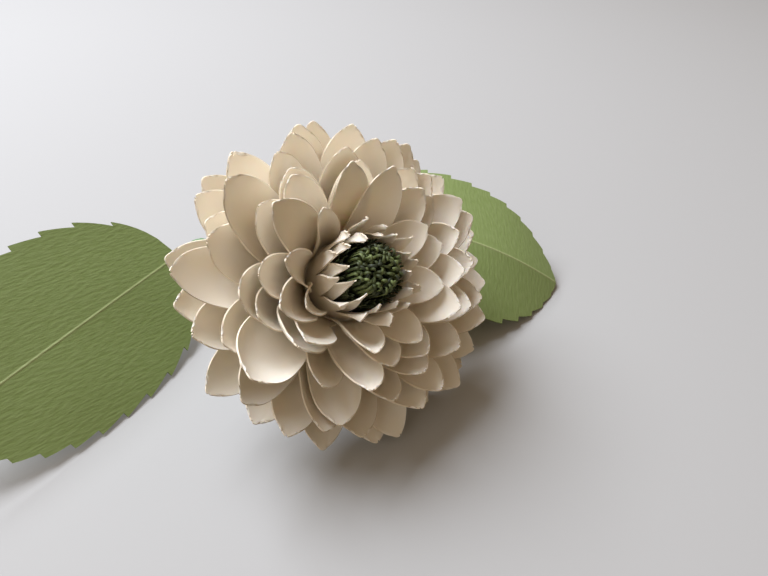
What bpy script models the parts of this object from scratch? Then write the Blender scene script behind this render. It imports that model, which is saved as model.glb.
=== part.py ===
"""A cream paper flower with two green leaves, lying as it comes to rest on a table.

The head is eleven die-cut sheets of eight petals each, threaded on a stem wire and glued hub on
hub. Two cream collar strips and two rolls of green fringe stand on the top sheet, wound round the
end of the wire. Below the head the wire is wrapped in tape, and two serrated leaves stand off it
on stalks of their own.

The head and the stem are modelled in the head's frame: +Z out of the face, +X to the right, and
the origin at the underside of the lowest hub. An empty tilts that frame. The leaves are placed in
the table's directions, from the same origin, and a second empty sets the whole flower on Z = 0.
"""

import math
from dataclasses import dataclass, replace

import bmesh
import bpy
from mathutils import Matrix, Vector

MM = 0.001

# Card, glue and wire stock
PAPER = 0.35 * MM  # thickness of the petal card
LEAF_CARD = 0.45 * MM
GLUE_LINE = 0.30 * MM  # between two hubs
TOUCH = 0.30 * MM  # between pieces that touch
WIRE_RADIUS = 0.9 * MM
TAPE = 0.55 * MM  # floral tape, a few turns thick
STALK_RADIUS = 1.15 * MM

# Petal sheets
PETALS = 8
HUB_RADIUS = 10.8 * MM
PETAL_SLOT = 0.5 * MM  # least width of the cut between two petals
PETAL_WIDEST = 0.56  # where a petal is widest, as a share of its length
PETAL_TIP = 0.34  # width of the blunt tip, as a share of the widest
PETAL_TIP_ARC = 0.05  # how far the corners of the tip fall back, as a share of the length
PETAL_CUP_REACH = 0.8  # 1 would leave the tip flat, 0.5 most cupped at its tip
PETAL_BOW = 0.09  # how far a petal sags below its chord, as a share of it
PETAL_CELLS = 4  # mesh cells across a petal
PETAL_ROWS = 4  # and along it
ROW_CROWDING = 1.5  # above 1, rows of the mesh are closer near the tip

# Collar strips
COLLAR_PETALS = 12
COLLAR_TIP = 0.42  # width of a collar petal's tip, as a share of its width
COLLAR_TIP_ARC = 0.06
COLLAR_CELLS = 2

# Rolled centre
DOME_RADIUS = 5.9 * MM
DOME_HEIGHT = 27.2 * MM
DOME_CROWN = 3.0 * MM  # how far the dome's edge lies below its top
DOME_SEGMENTS = 20
DOME_RINGS = 4
TUFT_DEPTH = 1.1 * MM
FRINGE_RADIUS = 8.4 * MM
FRINGE_HEIGHT = 20.5 * MM
FRINGE_CUTS = 24
FRINGE_CUT_DEPTH = 1.8 * MM
WIRE_IN_ROLL = 6.0 * MM  # how far the wire reaches into the roll

# Leaves
LEAF_LENGTH = 84.0 * MM
LEAF_WIDTH = 57.0 * MM
LEAF_WIDEST = 0.46  # share of the length
LEAF_TEETH = 10  # on each side
LEAF_TOOTH = 1.3 * MM
LEAF_CELLS = 4  # mesh cells across a leaf
STALK_UNDER_LEAF = 0.10  # share of the leaf's length that its stalk is glued along

# Stem
STEM_SIDES = 12
NECK_RADIUS = 3.4 * MM  # tape where it meets the lowest hub
NECK_LENGTH = 5.0 * MM
WIRE_TAIL = 1.5 * MM  # bare wire past the end of the tape
STALK_JOINT = 19.0 * MM  # down the stem from the lowest hub
STALK_RUN = 6.0 * MM  # length of stalk bound along the stem
BINDING = 0.55 * MM  # between the stem's tape and a stalk bound to it
STALK_STEPS = 3  # mesh lengths between two points of its route

# How the flower lies: its face looks up and towards -Y, and leans to +X
AXIS_LEAN = 35.1  # degrees from -Y towards +X
AXIS_RISE = 41.2  # degrees above the table

CREAM = (0.80, 0.72, 0.58, 1.0)
LEAF_GREEN = (0.19, 0.27, 0.08, 1.0)
TAPE_GREEN = (0.06, 0.19, 0.05, 1.0)
FRINGE_GREEN = (0.045, 0.065, 0.02, 1.0)
STEEL = (0.45, 0.45, 0.46, 1.0)


@dataclass(frozen=True)
class PetalSheet:
    """One die-cut sheet: where its petals end, how wide and cupped they are and how it is turned."""

    tip_radius: float
    tip_height: float
    half_width: float
    cup: float  # how far the edges of a petal rise
    turn: float  # degrees


SHEETS = (
    PetalSheet(45.5 * MM, 4.2 * MM, 8.6 * MM, 1.3 * MM, 41.0),
    PetalSheet(45.2 * MM, 7.4 * MM, 8.6 * MM, 1.3 * MM, 12.0),
    PetalSheet(44.4 * MM, 10.6 * MM, 8.6 * MM, 1.3 * MM, 21.0),
    PetalSheet(43.2 * MM, 13.8 * MM, 8.6 * MM, 1.3 * MM, 2.0),
    PetalSheet(41.4 * MM, 16.8 * MM, 8.6 * MM, 1.3 * MM, 29.5),
    PetalSheet(38.6 * MM, 19.6 * MM, 8.3 * MM, 1.4 * MM, 38.0),
    PetalSheet(35.4 * MM, 22.0 * MM, 8.0 * MM, 1.5 * MM, 12.0),
    PetalSheet(31.8 * MM, 23.9 * MM, 7.6 * MM, 1.6 * MM, 24.0),
    PetalSheet(28.0 * MM, 25.2 * MM, 7.0 * MM, 1.6 * MM, 5.0),
    PetalSheet(24.2 * MM, 25.9 * MM, 6.4 * MM, 1.5 * MM, 19.0),
    PetalSheet(20.4 * MM, 26.1 * MM, 5.8 * MM, 1.4 * MM, 39.0),
)
SHEET_PITCH = PAPER + GLUE_LINE
WIRE_HOLE = WIRE_RADIUS + TOUCH
SEAT = SHEET_PITCH * (len(SHEETS) - 1) + PAPER + TOUCH  # what stands on the top hub starts here
TAPE_BORE = WIRE_RADIUS + TOUCH
STEM_RADIUS = TAPE_BORE + TAPE


@dataclass(frozen=True)
class Collar:
    """A strip of small petals wound round the centre."""

    radius: float
    flare: float  # how far the tips lean out
    height: float
    band: float  # uncut height
    turn: float  # degrees


COLLARS = {
    "collar_inner": Collar(9.35 * MM, 0.9 * MM, 26.2 * MM, 17.0 * MM, 0.0),
    "collar_outer": Collar(10.15 * MM, 1.5 * MM, 25.2 * MM, 16.0 * MM, 15.0),
}


@dataclass(frozen=True)
class LeafPlace:
    """Where a leaf starts, where it points and looks, and how its stalk gets there."""

    base: Vector
    along: Vector
    face: Vector
    arch: float  # how far the middle stands above the line from base to tip
    fold: float  # how far the edges lie below the scored midrib
    stalk: tuple  # points between the stem and the leaf


LEAVES = {
    "left": LeafPlace(
        Vector((-54.0, 27.5, -9.4)) * MM,
        Vector((-0.505, -0.863, -0.024)),
        Vector((0.612, -0.378, 0.694)),
        3.0 * MM,
        2.4 * MM,
        (
            Vector((-22.0, 22.0, -20.0)) * MM,
            Vector((-35.0, 27.0, -17.0)) * MM,
            Vector((-46.0, 33.0, -9.0)) * MM,
        ),
    ),
    "right": LeafPlace(
        Vector((-2.3, 36.7, -2.3)) * MM,
        Vector((0.938, -0.016, -0.347)),
        Vector((0.320, -0.349, 0.880)),
        8.0 * MM,
        5.0 * MM,
        (Vector((-11.5, 25.0, -12.0)) * MM,),
    ),
}


def material(name, colour, roughness, metallic=0.0):
    """A Principled material with one colour."""
    made = bpy.data.materials.new(name)
    made.use_nodes = True
    shader = made.node_tree.nodes["Principled BSDF"]
    shader.inputs["Base Color"].default_value = colour
    shader.inputs["Roughness"].default_value = roughness
    shader.inputs["Metallic"].default_value = metallic
    made.diffuse_color = colour
    return made


def add_object(name, data, finish, parent, collection):
    """An object made of the given mesh or curve, in the frame of its parent."""
    made = bpy.data.objects.new(name, data)
    data.materials.append(finish)
    collection.objects.link(made)
    made.parent = parent
    return made


def mesh_from(bm, name):
    """The bmesh as a mesh."""
    mesh = bpy.data.meshes.new(name)
    bm.to_mesh(mesh)
    bm.free()
    mesh.shade_smooth()
    return mesh


def thicken(made, thickness):
    """Gives an open sheet its thickness, half to each side."""
    solidify = made.modifiers.new("thickness", "SOLIDIFY")
    solidify.thickness = thickness
    solidify.offset = 0.0


def curve_point(start, bend, end, share):
    """A point of the quadratic curve from start to end that leans towards bend."""
    rest = 1.0 - share
    return start * rest * rest + bend * 2 * rest * share + end * share * share


def ring_of(bm, petals, turn):
    """Spins the one petal in the bmesh into a ring of them, joined where their edges meet."""
    bmesh.ops.rotate(bm, verts=bm.verts, matrix=Matrix.Rotation(math.radians(turn), 3, "Z"))
    step = 2 * math.pi / petals
    bmesh.ops.spin(
        bm,
        geom=bm.verts[:] + bm.edges[:] + bm.faces[:],
        axis=(0, 0, 1),
        cent=(0, 0, 0),
        angle=step * (petals - 1),
        steps=petals - 1,
        use_duplicate=True,
    )
    bmesh.ops.remove_doubles(bm, verts=bm.verts, dist=0.01 * MM)


def petal_grid(cells, place):
    """A grid of one petal, whose vertices go where place(share, across) says."""
    bm = bmesh.new()
    bmesh.ops.create_grid(bm, x_segments=cells, y_segments=PETAL_ROWS, size=1.0)
    for vert in bm.verts:
        share = 1.0 - (0.5 - vert.co.y / 2) ** ROW_CROWDING
        radius, height, angle = place(share, vert.co.x)
        vert.co = (radius * math.cos(angle), radius * math.sin(angle), height)
    return bm


def petal_half_width(share, base, widest):
    """Half the width of a petal at a share of its length."""
    if share < PETAL_WIDEST:
        return base + (widest - base) * math.sin(0.5 * math.pi * share / PETAL_WIDEST)
    past = (share - PETAL_WIDEST) / (1.0 - PETAL_WIDEST)
    return widest * (1.0 - (1.0 - PETAL_TIP) * past**2.2)


def petal_cup(share):
    """How cupped a petal is at a share of its length: flat at the hub, less again at the tip."""
    return math.sin(math.pi * share**1.3 * PETAL_CUP_REACH)


def petal_sheet(sheet, level):
    """The open surface of one die-cut sheet, its pierced hub at the given level."""
    sector = math.pi / PETALS
    hub = Vector((HUB_RADIUS, level))
    tip = Vector((sheet.tip_radius, sheet.tip_height))
    chord = tip - hub
    inward = Vector((-chord.y, chord.x)).normalized()
    bend = (hub + tip) / 2 - inward * 2 * PETAL_BOW * chord.length

    def place(share, across):
        reach = share * (1.0 - PETAL_TIP_ARC * share**3 * across**2)
        middle = curve_point(hub, bend, tip, reach)
        rise = sheet.cup * petal_cup(share) * across**2
        spot = middle + inward * rise
        half = sector
        if share > 0:
            width = petal_half_width(share, sector * HUB_RADIUS, sheet.half_width)
            half = min(width / middle.x, sector - PETAL_SLOT / 2 / spot.x)
        return spot.x, spot.y, -across * half

    bm = petal_grid(PETAL_CELLS, place)
    ring_of(bm, PETALS, sheet.turn)
    rim = [e for e in bm.edges if e.is_boundary and all(v.co.xy.length < HUB_RADIUS + TOUCH for v in e.verts)]
    hole = bmesh.ops.create_circle(
        bm, radius=WIRE_HOLE, segments=PETALS, matrix=Matrix.Translation((0, 0, level))
    )
    pierced = list({edge for vert in hole["verts"] for edge in vert.link_edges})
    bmesh.ops.triangle_fill(bm, use_beauty=True, edges=rim + pierced, normal=(0, 0, 1))
    bmesh.ops.recalc_face_normals(bm, faces=bm.faces)
    return bm


def collar_strip(collar):
    """The open surface of a collar: a closed band whose upper edge is cut into petals."""
    sector = math.pi / COLLAR_PETALS
    band = collar.band / collar.height

    def place(share, across):
        reach = share * (1.0 - COLLAR_TIP_ARC * share**3 * across**2)
        radius = collar.radius + collar.flare * share**2
        half = sector
        if share > band:
            past = (share - band) / (1.0 - band)
            width = 1.0 - (1.0 - COLLAR_TIP) * past**1.6
            half = sector * width - PETAL_SLOT / 2 / radius
        return radius, SEAT + collar.height * reach, -across * half

    bm = petal_grid(COLLAR_CELLS, place)
    ring_of(bm, COLLAR_PETALS, collar.turn)
    bmesh.ops.recalc_face_normals(bm, faces=bm.faces)
    return bm


def spun(profile, segments):
    """The closed surface that a profile of (radius, height) points makes round the stem."""
    bm = bmesh.new()
    verts = [bm.verts.new((radius, 0, height)) for radius, height in profile]
    for first, second in zip(verts, verts[1:]):
        bm.edges.new((first, second))
    bmesh.ops.spin(
        bm,
        geom=bm.verts[:] + bm.edges[:],
        axis=(0, 0, 1),
        cent=(0, 0, 0),
        angle=2 * math.pi,
        steps=segments,
    )
    bmesh.ops.remove_doubles(bm, verts=bm.verts, dist=0.01 * MM)
    bmesh.ops.recalc_face_normals(bm, faces=bm.faces)
    return bm


def fringe_dome():
    """The inner roll: a dome of curled fringe, bored from below for the end of the wire."""
    edge = SEAT + DOME_HEIGHT - DOME_CROWN
    profile = [(0.0, SEAT + WIRE_IN_ROLL + TOUCH), (WIRE_HOLE, SEAT + WIRE_IN_ROLL + TOUCH)]
    profile += [(WIRE_HOLE, SEAT), (DOME_RADIUS, SEAT)]
    for ring in range(DOME_RINGS + 1):
        radius = DOME_RADIUS * (1.0 - ring / (DOME_RINGS + 0.5))
        rise = math.sqrt(1.0 - (radius / DOME_RADIUS) ** 2)
        profile.append((radius, edge + DOME_CROWN * rise))
    profile.append((0.0, SEAT + DOME_HEIGHT))
    bm = spun(profile, DOME_SEGMENTS)
    step = 2 * math.pi / DOME_SEGMENTS
    for vert in bm.verts:
        radius = vert.co.xy.length
        if vert.co.z < edge - TOUCH or radius < WIRE_HOLE / 2:
            continue
        spoke = round(math.atan2(vert.co.y, vert.co.x) / step)
        ring = round((1.0 - radius / DOME_RADIUS) * (DOME_RINGS + 0.5))
        vert.co.z -= TUFT_DEPTH * ((spoke + ring) % 2)
    return bm


def fringe_ring():
    """The outer roll: a ring of fine fringe, lower than the dome that it is wound round."""
    inner = DOME_RADIUS + TOUCH
    top = SEAT + FRINGE_HEIGHT
    profile = [(inner, SEAT), (FRINGE_RADIUS, SEAT), (FRINGE_RADIUS, top)]
    profile += [((inner + FRINGE_RADIUS) / 2, top), (inner, top), (inner, SEAT)]
    segments = 2 * FRINGE_CUTS
    bm = spun(profile, segments)
    step = 2 * math.pi / segments
    for vert in bm.verts:
        spoke = round(math.atan2(vert.co.y, vert.co.x) / step)
        if vert.co.z > top - TOUCH and spoke % 2:
            vert.co.z -= FRINGE_CUT_DEPTH
    return bm


def stem_tape(length):
    """The tape round the wire, wider where it meets the lowest hub."""
    profile = [(TAPE_BORE, -TOUCH), (TAPE_BORE, -length), (STEM_RADIUS, -length)]
    profile += [(STEM_RADIUS, -NECK_LENGTH), (NECK_RADIUS, -TOUCH), (TAPE_BORE, -TOUCH)]
    return spun(profile, STEM_SIDES)


def stem_wire(length):
    """The wire from inside the roll to its bare end below the tape."""
    top = SEAT + WIRE_IN_ROLL
    bm = bmesh.new()
    bmesh.ops.create_cone(
        bm,
        cap_ends=True,
        segments=STEM_SIDES,
        radius1=WIRE_RADIUS,
        radius2=WIRE_RADIUS,
        depth=top + length,
        matrix=Matrix.Translation((0, 0, (top - length) / 2)),
    )
    return bm


def leaf_frame(place):
    """The directions along a leaf, across it and out of its face."""
    along = place.along.normalized()
    across = place.face.cross(along).normalized()
    return along, across, along.cross(across)


def leaf_middle(place, share):
    """A point of the midrib."""
    along, _, face = leaf_frame(place)
    arch = place.arch * 4 * share * (1.0 - share)
    return place.base + along * LEAF_LENGTH * share + face * arch


def leaf_normal(place, share):
    """The direction out of a leaf's face at a point of the midrib."""
    along, _, face = leaf_frame(place)
    slope = place.arch * 4 * (1.0 - 2 * share) / LEAF_LENGTH
    return (face - along * slope).normalized()


def leaf_half_width(share):
    """Half the width of a leaf at a share of its length, without the teeth."""
    if share < LEAF_WIDEST:
        return 0.5 * LEAF_WIDTH * math.sqrt(1.0 - (1.0 - share / LEAF_WIDEST) ** 2.2)
    past = (share - LEAF_WIDEST) / (1.0 - LEAF_WIDEST)
    return 0.5 * LEAF_WIDTH * (1.0 - past**2.6) ** 0.7


def leaf_blade(place):
    """The open surface of a serrated leaf with a scored midrib."""
    rows = 2 * LEAF_TEETH + 1
    least = 2 * STALK_RADIUS
    _, across, face = leaf_frame(place)
    bm = bmesh.new()
    bmesh.ops.create_grid(bm, x_segments=LEAF_CELLS, y_segments=rows, size=1.0)
    for vert in bm.verts:
        side, share = vert.co.x, (vert.co.y + 1.0) / 2
        row = round(share * rows)
        half = leaf_half_width(share)
        if row % 2 and 1 < row < rows:
            half -= LEAF_TOOTH
        half = max(half, least)
        fold = -place.fold * abs(side) * half * 2 / LEAF_WIDTH
        vert.co = leaf_middle(place, share) + across * side * half + face * fold
    bmesh.ops.recalc_face_normals(bm, faces=bm.faces)
    return bm


def laid_on(place, floor):
    """The same place, moved straight up or down until the leaf lies on the table."""
    blade = leaf_blade(place)
    lowest = min(vert.co.z for vert in blade.verts)
    blade.free()
    return replace(place, base=place.base + Vector((0, 0, floor + LEAF_CARD / 2 - lowest)))


def smooth_path(points, steps):
    """Points of a smooth curve through the given ones."""
    padded = [points[0] * 2 - points[1], *points, points[-1] * 2 - points[-2]]
    path = []
    for before, start, end, after in zip(padded, padded[1:], padded[2:], padded[3:]):
        for step in range(steps):
            part = step / steps
            lead = start * 2 + (end - before) * part
            turn = (before * 2 - start * 5 + end * 4 - after) * part**2
            close = (start * 3 - before - end * 3 + after) * part**3
            path.append((lead + turn + close) / 2)
    path.append(points[-1])
    return path


def stalk_path(place, axis):
    """The route of a leaf's stalk: along the stem, across to the leaf and along its underside."""
    aside = place.base - axis * place.base.dot(axis)
    beside = aside.normalized() * (STEM_RADIUS + BINDING + STALK_RADIUS)
    start = [beside - axis * down for down in (STALK_JOINT + STALK_RUN, STALK_JOINT)]
    depth = STALK_RADIUS + LEAF_CARD / 2 + TOUCH
    shares = (-STALK_UNDER_LEAF / 2, 0.0, STALK_UNDER_LEAF / 2, STALK_UNDER_LEAF)
    end = [leaf_middle(place, share) - leaf_normal(place, share) * depth for share in shares]
    return smooth_path(start + list(place.stalk) + end, STALK_STEPS)


def tube(name, path, radius):
    """A curve with filled ends along the path."""
    curve = bpy.data.curves.new(name, "CURVE")
    curve.dimensions = "3D"
    curve.bevel_depth = radius
    curve.bevel_resolution = 2
    curve.use_fill_caps = True
    spline = curve.splines.new("POLY")
    spline.points.add(len(path) - 1)
    for point, spot in zip(spline.points, path):
        point.co = (*spot, 1.0)
    return curve


def world_corners(collection):
    """The lowest and highest corner of everything in the collection."""
    bpy.context.view_layer.update()
    graph = bpy.context.evaluated_depsgraph_get()
    spots = []
    for made in collection.objects:
        if made.type == "EMPTY":
            continue
        shape = made.evaluated_get(graph)
        spots += [made.matrix_world @ vert.co for vert in shape.to_mesh().vertices]
        shape.to_mesh_clear()
    return [Vector(pick(spot[i] for spot in spots) for i in range(3)) for pick in (min, max)]


def main():
    """Builds the flower and sets it on the table."""
    for leftover in list(bpy.data.objects):
        bpy.data.objects.remove(leftover)
    collection = bpy.data.collections.new("paper_flower")
    bpy.context.scene.collection.children.link(collection)
    resting = bpy.data.objects.new("resting_place", None)
    head = bpy.data.objects.new("head_tilt", None)
    for empty in (resting, head):
        collection.objects.link(empty)
    head.parent = resting

    lean, rise = math.radians(AXIS_LEAN), math.radians(AXIS_RISE)
    level = math.cos(rise)
    axis = Vector((math.sin(lean) * level, -math.cos(lean) * level, math.sin(rise)))
    right = (Vector((1, 0, 0)) - axis * axis.x).normalized()
    head.rotation_euler = Matrix((right, axis.cross(right), axis)).transposed().to_euler()

    cream = material("cream_card", CREAM, 0.7)
    green = material("leaf_card", LEAF_GREEN, 0.65)
    taped = material("floral_tape", TAPE_GREEN, 0.6)
    fringe = material("fringe_paper", FRINGE_GREEN, 0.7)
    steel = material("steel_wire", STEEL, 0.35, 1.0)

    for index, sheet in enumerate(SHEETS):
        name = f"petal_sheet_{index + 1:02d}"
        surface = petal_sheet(sheet, PAPER / 2 + SHEET_PITCH * index)
        thicken(add_object(name, mesh_from(surface, name), cream, head, collection), PAPER)
    floor = world_corners(collection)[0].z

    for name, collar in COLLARS.items():
        made = add_object(name, mesh_from(collar_strip(collar), name), cream, head, collection)
        thicken(made, PAPER)
    for name, surface in (("fringe_dome", fringe_dome()), ("fringe_ring", fringe_ring())):
        add_object(name, mesh_from(surface, name), fringe, head, collection)

    wire_length = (-floor - WIRE_RADIUS * level) / math.sin(rise)
    tape_length = wire_length - WIRE_TAIL
    add_object("stem_wire", mesh_from(stem_wire(wire_length), "stem_wire"), steel, head, collection)
    add_object("stem_tape", mesh_from(stem_tape(tape_length), "stem_tape"), taped, head, collection)

    for side, chosen in LEAVES.items():
        place = laid_on(chosen, floor)
        blade = mesh_from(leaf_blade(place), f"leaf_{side}")
        thicken(add_object(f"leaf_{side}", blade, green, resting, collection), LEAF_CARD)
        route = tube(f"leaf_stalk_{side}", stalk_path(place, axis), STALK_RADIUS)
        add_object(f"leaf_stalk_{side}", route, taped, resting, collection)

    low, high = world_corners(collection)
    resting.location = (-(low.x + high.x) / 2, -(low.y + high.y) / 2, -low.z)


main()
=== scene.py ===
"""A cream paper flower with two green leaves, lying on a pale table.

Eleven die-cut petal sheets, two collar strips, two rolls of cut fringe, the taped stem and the
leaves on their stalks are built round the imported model, each in the place of its own node.
"""

from __future__ import annotations

import logging
import math
import random
from dataclasses import dataclass, field, replace
from enum import Enum
from typing import Any

import bmesh
import bpy
from mathutils import Matrix, Vector, noise
from mathutils.bvhtree import BVHTree


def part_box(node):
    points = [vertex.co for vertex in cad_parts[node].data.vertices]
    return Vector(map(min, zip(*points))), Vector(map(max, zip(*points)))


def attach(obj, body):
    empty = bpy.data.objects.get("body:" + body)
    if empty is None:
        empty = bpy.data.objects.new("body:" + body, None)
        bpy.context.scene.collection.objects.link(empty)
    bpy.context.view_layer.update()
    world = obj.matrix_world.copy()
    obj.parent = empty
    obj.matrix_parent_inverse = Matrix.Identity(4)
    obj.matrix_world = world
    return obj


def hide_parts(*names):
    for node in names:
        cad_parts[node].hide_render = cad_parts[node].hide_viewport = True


LOG = logging.getLogger("paper_flower")

MM = 0.001
ROOT = "root"
MERGE = 0.01 * MM  # vertices closer than this become one
CREASE = math.radians(50.0)  # edges sharper than this are shaded as edges
INSIDE = 2.0  # a distance from the cut, in mm, that is well past the pressed margin
UP = Vector((0, 0, 1))
SEAT = 7.15 * MM  # what stands on the top hub starts here, above the head's origin
WIRE_TOP = SEAT + 6.0 * MM
STEM_RADIUS = 1.75 * MM  # tape and all
HEAD_AXIS = Vector((0.4327, -0.6156, 0.6587))

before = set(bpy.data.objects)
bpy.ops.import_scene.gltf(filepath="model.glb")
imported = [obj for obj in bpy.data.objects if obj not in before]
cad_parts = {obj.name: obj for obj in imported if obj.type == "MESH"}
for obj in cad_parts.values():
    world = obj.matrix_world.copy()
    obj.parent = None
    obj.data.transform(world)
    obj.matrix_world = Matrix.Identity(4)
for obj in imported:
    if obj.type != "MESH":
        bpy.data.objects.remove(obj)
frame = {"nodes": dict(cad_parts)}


class Slot(Enum):
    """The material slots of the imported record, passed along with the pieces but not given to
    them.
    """

    CREAM = "cream_card"
    LEAF = "leaf_card"
    TAPE = "floral_tape"
    FRINGE = "fringe_paper"


def linear(code: str) -> tuple[float, float, float, float]:
    """Turns an sRGB colour into the linear values that a shader takes.

    Args:
        code: the colour as six hex digits after a hash sign.

    Returns:
        Red, green, blue and a full alpha.
    """
    parts = [int(code[i : i + 2], 16) / 255 for i in (1, 3, 5)]
    red, green, blue = (
        c / 12.92 if c <= 0.04045 else ((c + 0.055) / 1.055) ** 2.4 for c in parts
    )
    return red, green, blue, 1.0


def per_mm(size: float) -> float:
    """The scale of a pattern whose features are this many millimetres across."""
    return 1.0 / (size * MM)


def add_node(tree: bpy.types.NodeTree, kind: str, feeds: dict, **settings: Any) -> bpy.types.Node:
    """Adds one shader node with its settings and links.

    Args:
        tree: the material's node tree.
        kind: the node's type.
        feeds: for each input's name or number, the socket that feeds it or its plain value.
        **settings: the node's own properties.

    Returns:
        The new node.
    """
    node = tree.nodes.new(kind)
    for name, value in settings.items():
        setattr(node, name, value)
    for key, value in feeds.items():
        if isinstance(value, bpy.types.NodeSocket):
            tree.links.new(value, node.inputs[key])
        else:
            node.inputs[key].default_value = value
    return node


@dataclass(frozen=True)
class Finish:
    """What every finish has: a name, a roughness and a way to dress a shader."""

    name: str
    roughness: float

    def material(self) -> bpy.types.Material:
        """Makes the material, unless it is made already.

        Returns:
            The material.
        """
        made = bpy.data.materials.get(self.name)
        if made is None:
            made = bpy.data.materials.new(self.name)
            made.use_nodes = True
            shader = made.node_tree.nodes["Principled BSDF"]
            shader.inputs["Roughness"].default_value = self.roughness
            self.dress(made.node_tree, shader)
        return made

    def dress(self, tree: bpy.types.NodeTree, shader: bpy.types.Node) -> None:
        """Adds what this finish has on top of its roughness.

        Args:
            tree: the material's node tree.
            shader: its Principled shader.
        """
        raise NotImplementedError


@dataclass(frozen=True)
class CreamCard(Finish):
    """Uncoated cream cardstock, die-cut and curled by hand.

    The eye gets a soft matt face with faint clouding in the pulp, a fine tooth of fibres, a painted
    highlight in a paler line along every cut edge, and a little light that soaks through each
    petal.
    """

    name: str = "cream_cardstock_die_cut"
    roughness: float = 0.58
    face: str = "#F7F0E3"
    cloud: str = "#F4E9D7"
    # painted highlight: the paler colour of a narrow band along each cut edge, lit or not
    margin: str = "#FAF4E9"
    cloud_size: float = 9.0  # mm
    fibre_size: float = 0.45  # mm, coarser than real fibres, which wouldn't show
    edge_highlight_width: float = 0.15  # mm
    tooth: float = 0.12
    tooth_depth: float = 0.05 * MM
    scatter: float = 0.2  # share of the light that soaks into the card
    scatter_depth: float = 0.8 * MM
    scatter_tint: tuple = (1.0, 0.68, 0.42)  # how far red, green and blue travel in it

    def dress(self, tree: bpy.types.NodeTree, shader: bpy.types.Node) -> None:
        """Adds clouding, a painted highlight along the cut edges and the tooth of the card.

        Args:
            tree: the material's node tree.
            shader: its Principled shader.
        """
        place = add_node(tree, "ShaderNodeTexCoord", {}).outputs["Object"]
        clouds = add_node(
            tree,
            "ShaderNodeTexNoise",
            {"Vector": place, "Scale": per_mm(self.cloud_size), "Detail": 3.0},
        )
        pulp = add_node(
            tree,
            "ShaderNodeMix",
            {0: clouds.outputs["Fac"], 6: linear(self.face), 7: linear(self.cloud)},
            data_type="RGBA",
        )
        # painted highlight: the face turns paler within a narrow band along each cut edge
        inset = add_node(tree, "ShaderNodeAttribute", {}, attribute_name="margin")
        pressed = add_node(
            tree,
            "ShaderNodeMapRange",
            {
                "Value": inset.outputs["Fac"],
                "From Min": 0.0,
                "From Max": self.edge_highlight_width * 2,
                "To Min": 1.0,
                "To Max": 0.0,
            },
        )
        colour = add_node(
            tree,
            "ShaderNodeMix",
            {0: pressed.outputs["Result"], 6: pulp.outputs[2], 7: linear(self.margin)},
            data_type="RGBA",
        )
        tree.links.new(colour.outputs[2], shader.inputs["Base Color"])
        fibres = add_node(
            tree,
            "ShaderNodeTexNoise",
            {"Vector": place, "Scale": per_mm(self.fibre_size), "Detail": 4.0},
        )
        tooth = add_node(
            tree,
            "ShaderNodeBump",
            {
                "Height": fibres.outputs["Fac"],
                "Strength": self.tooth,
                "Distance": self.tooth_depth,
            },
        )
        tree.links.new(tooth.outputs["Normal"], shader.inputs["Normal"])
        shader.inputs["Subsurface Weight"].default_value = self.scatter
        shader.inputs["Subsurface Radius"].default_value = self.scatter_tint
        shader.inputs["Subsurface Scale"].default_value = self.scatter_depth


@dataclass(frozen=True)
class CutEdge(Finish):
    """The die-cut edge of cream cardstock.

    The eye gets the open core of the card: rough, uneven and a shade darker than its face.
    """

    name: str = "cream_cardstock_cut_core"
    roughness: float = 0.8
    core: str = "#F3E9D7"
    shade: str = "#E0D0B4"
    grain: float = 0.3  # mm, coarser than real fibres, which wouldn't show

    def dress(self, tree: bpy.types.NodeTree, shader: bpy.types.Node) -> None:
        """Adds the uneven core.

        Args:
            tree: the material's node tree.
            shader: its Principled shader.
        """
        place = add_node(tree, "ShaderNodeTexCoord", {}).outputs["Object"]
        grain = add_node(
            tree, "ShaderNodeTexNoise", {"Vector": place, "Scale": per_mm(self.grain)}
        )
        colour = add_node(
            tree,
            "ShaderNodeMix",
            {0: grain.outputs["Fac"], 6: linear(self.core), 7: linear(self.shade)},
            data_type="RGBA",
        )
        tree.links.new(colour.outputs[2], shader.inputs["Base Color"])


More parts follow.
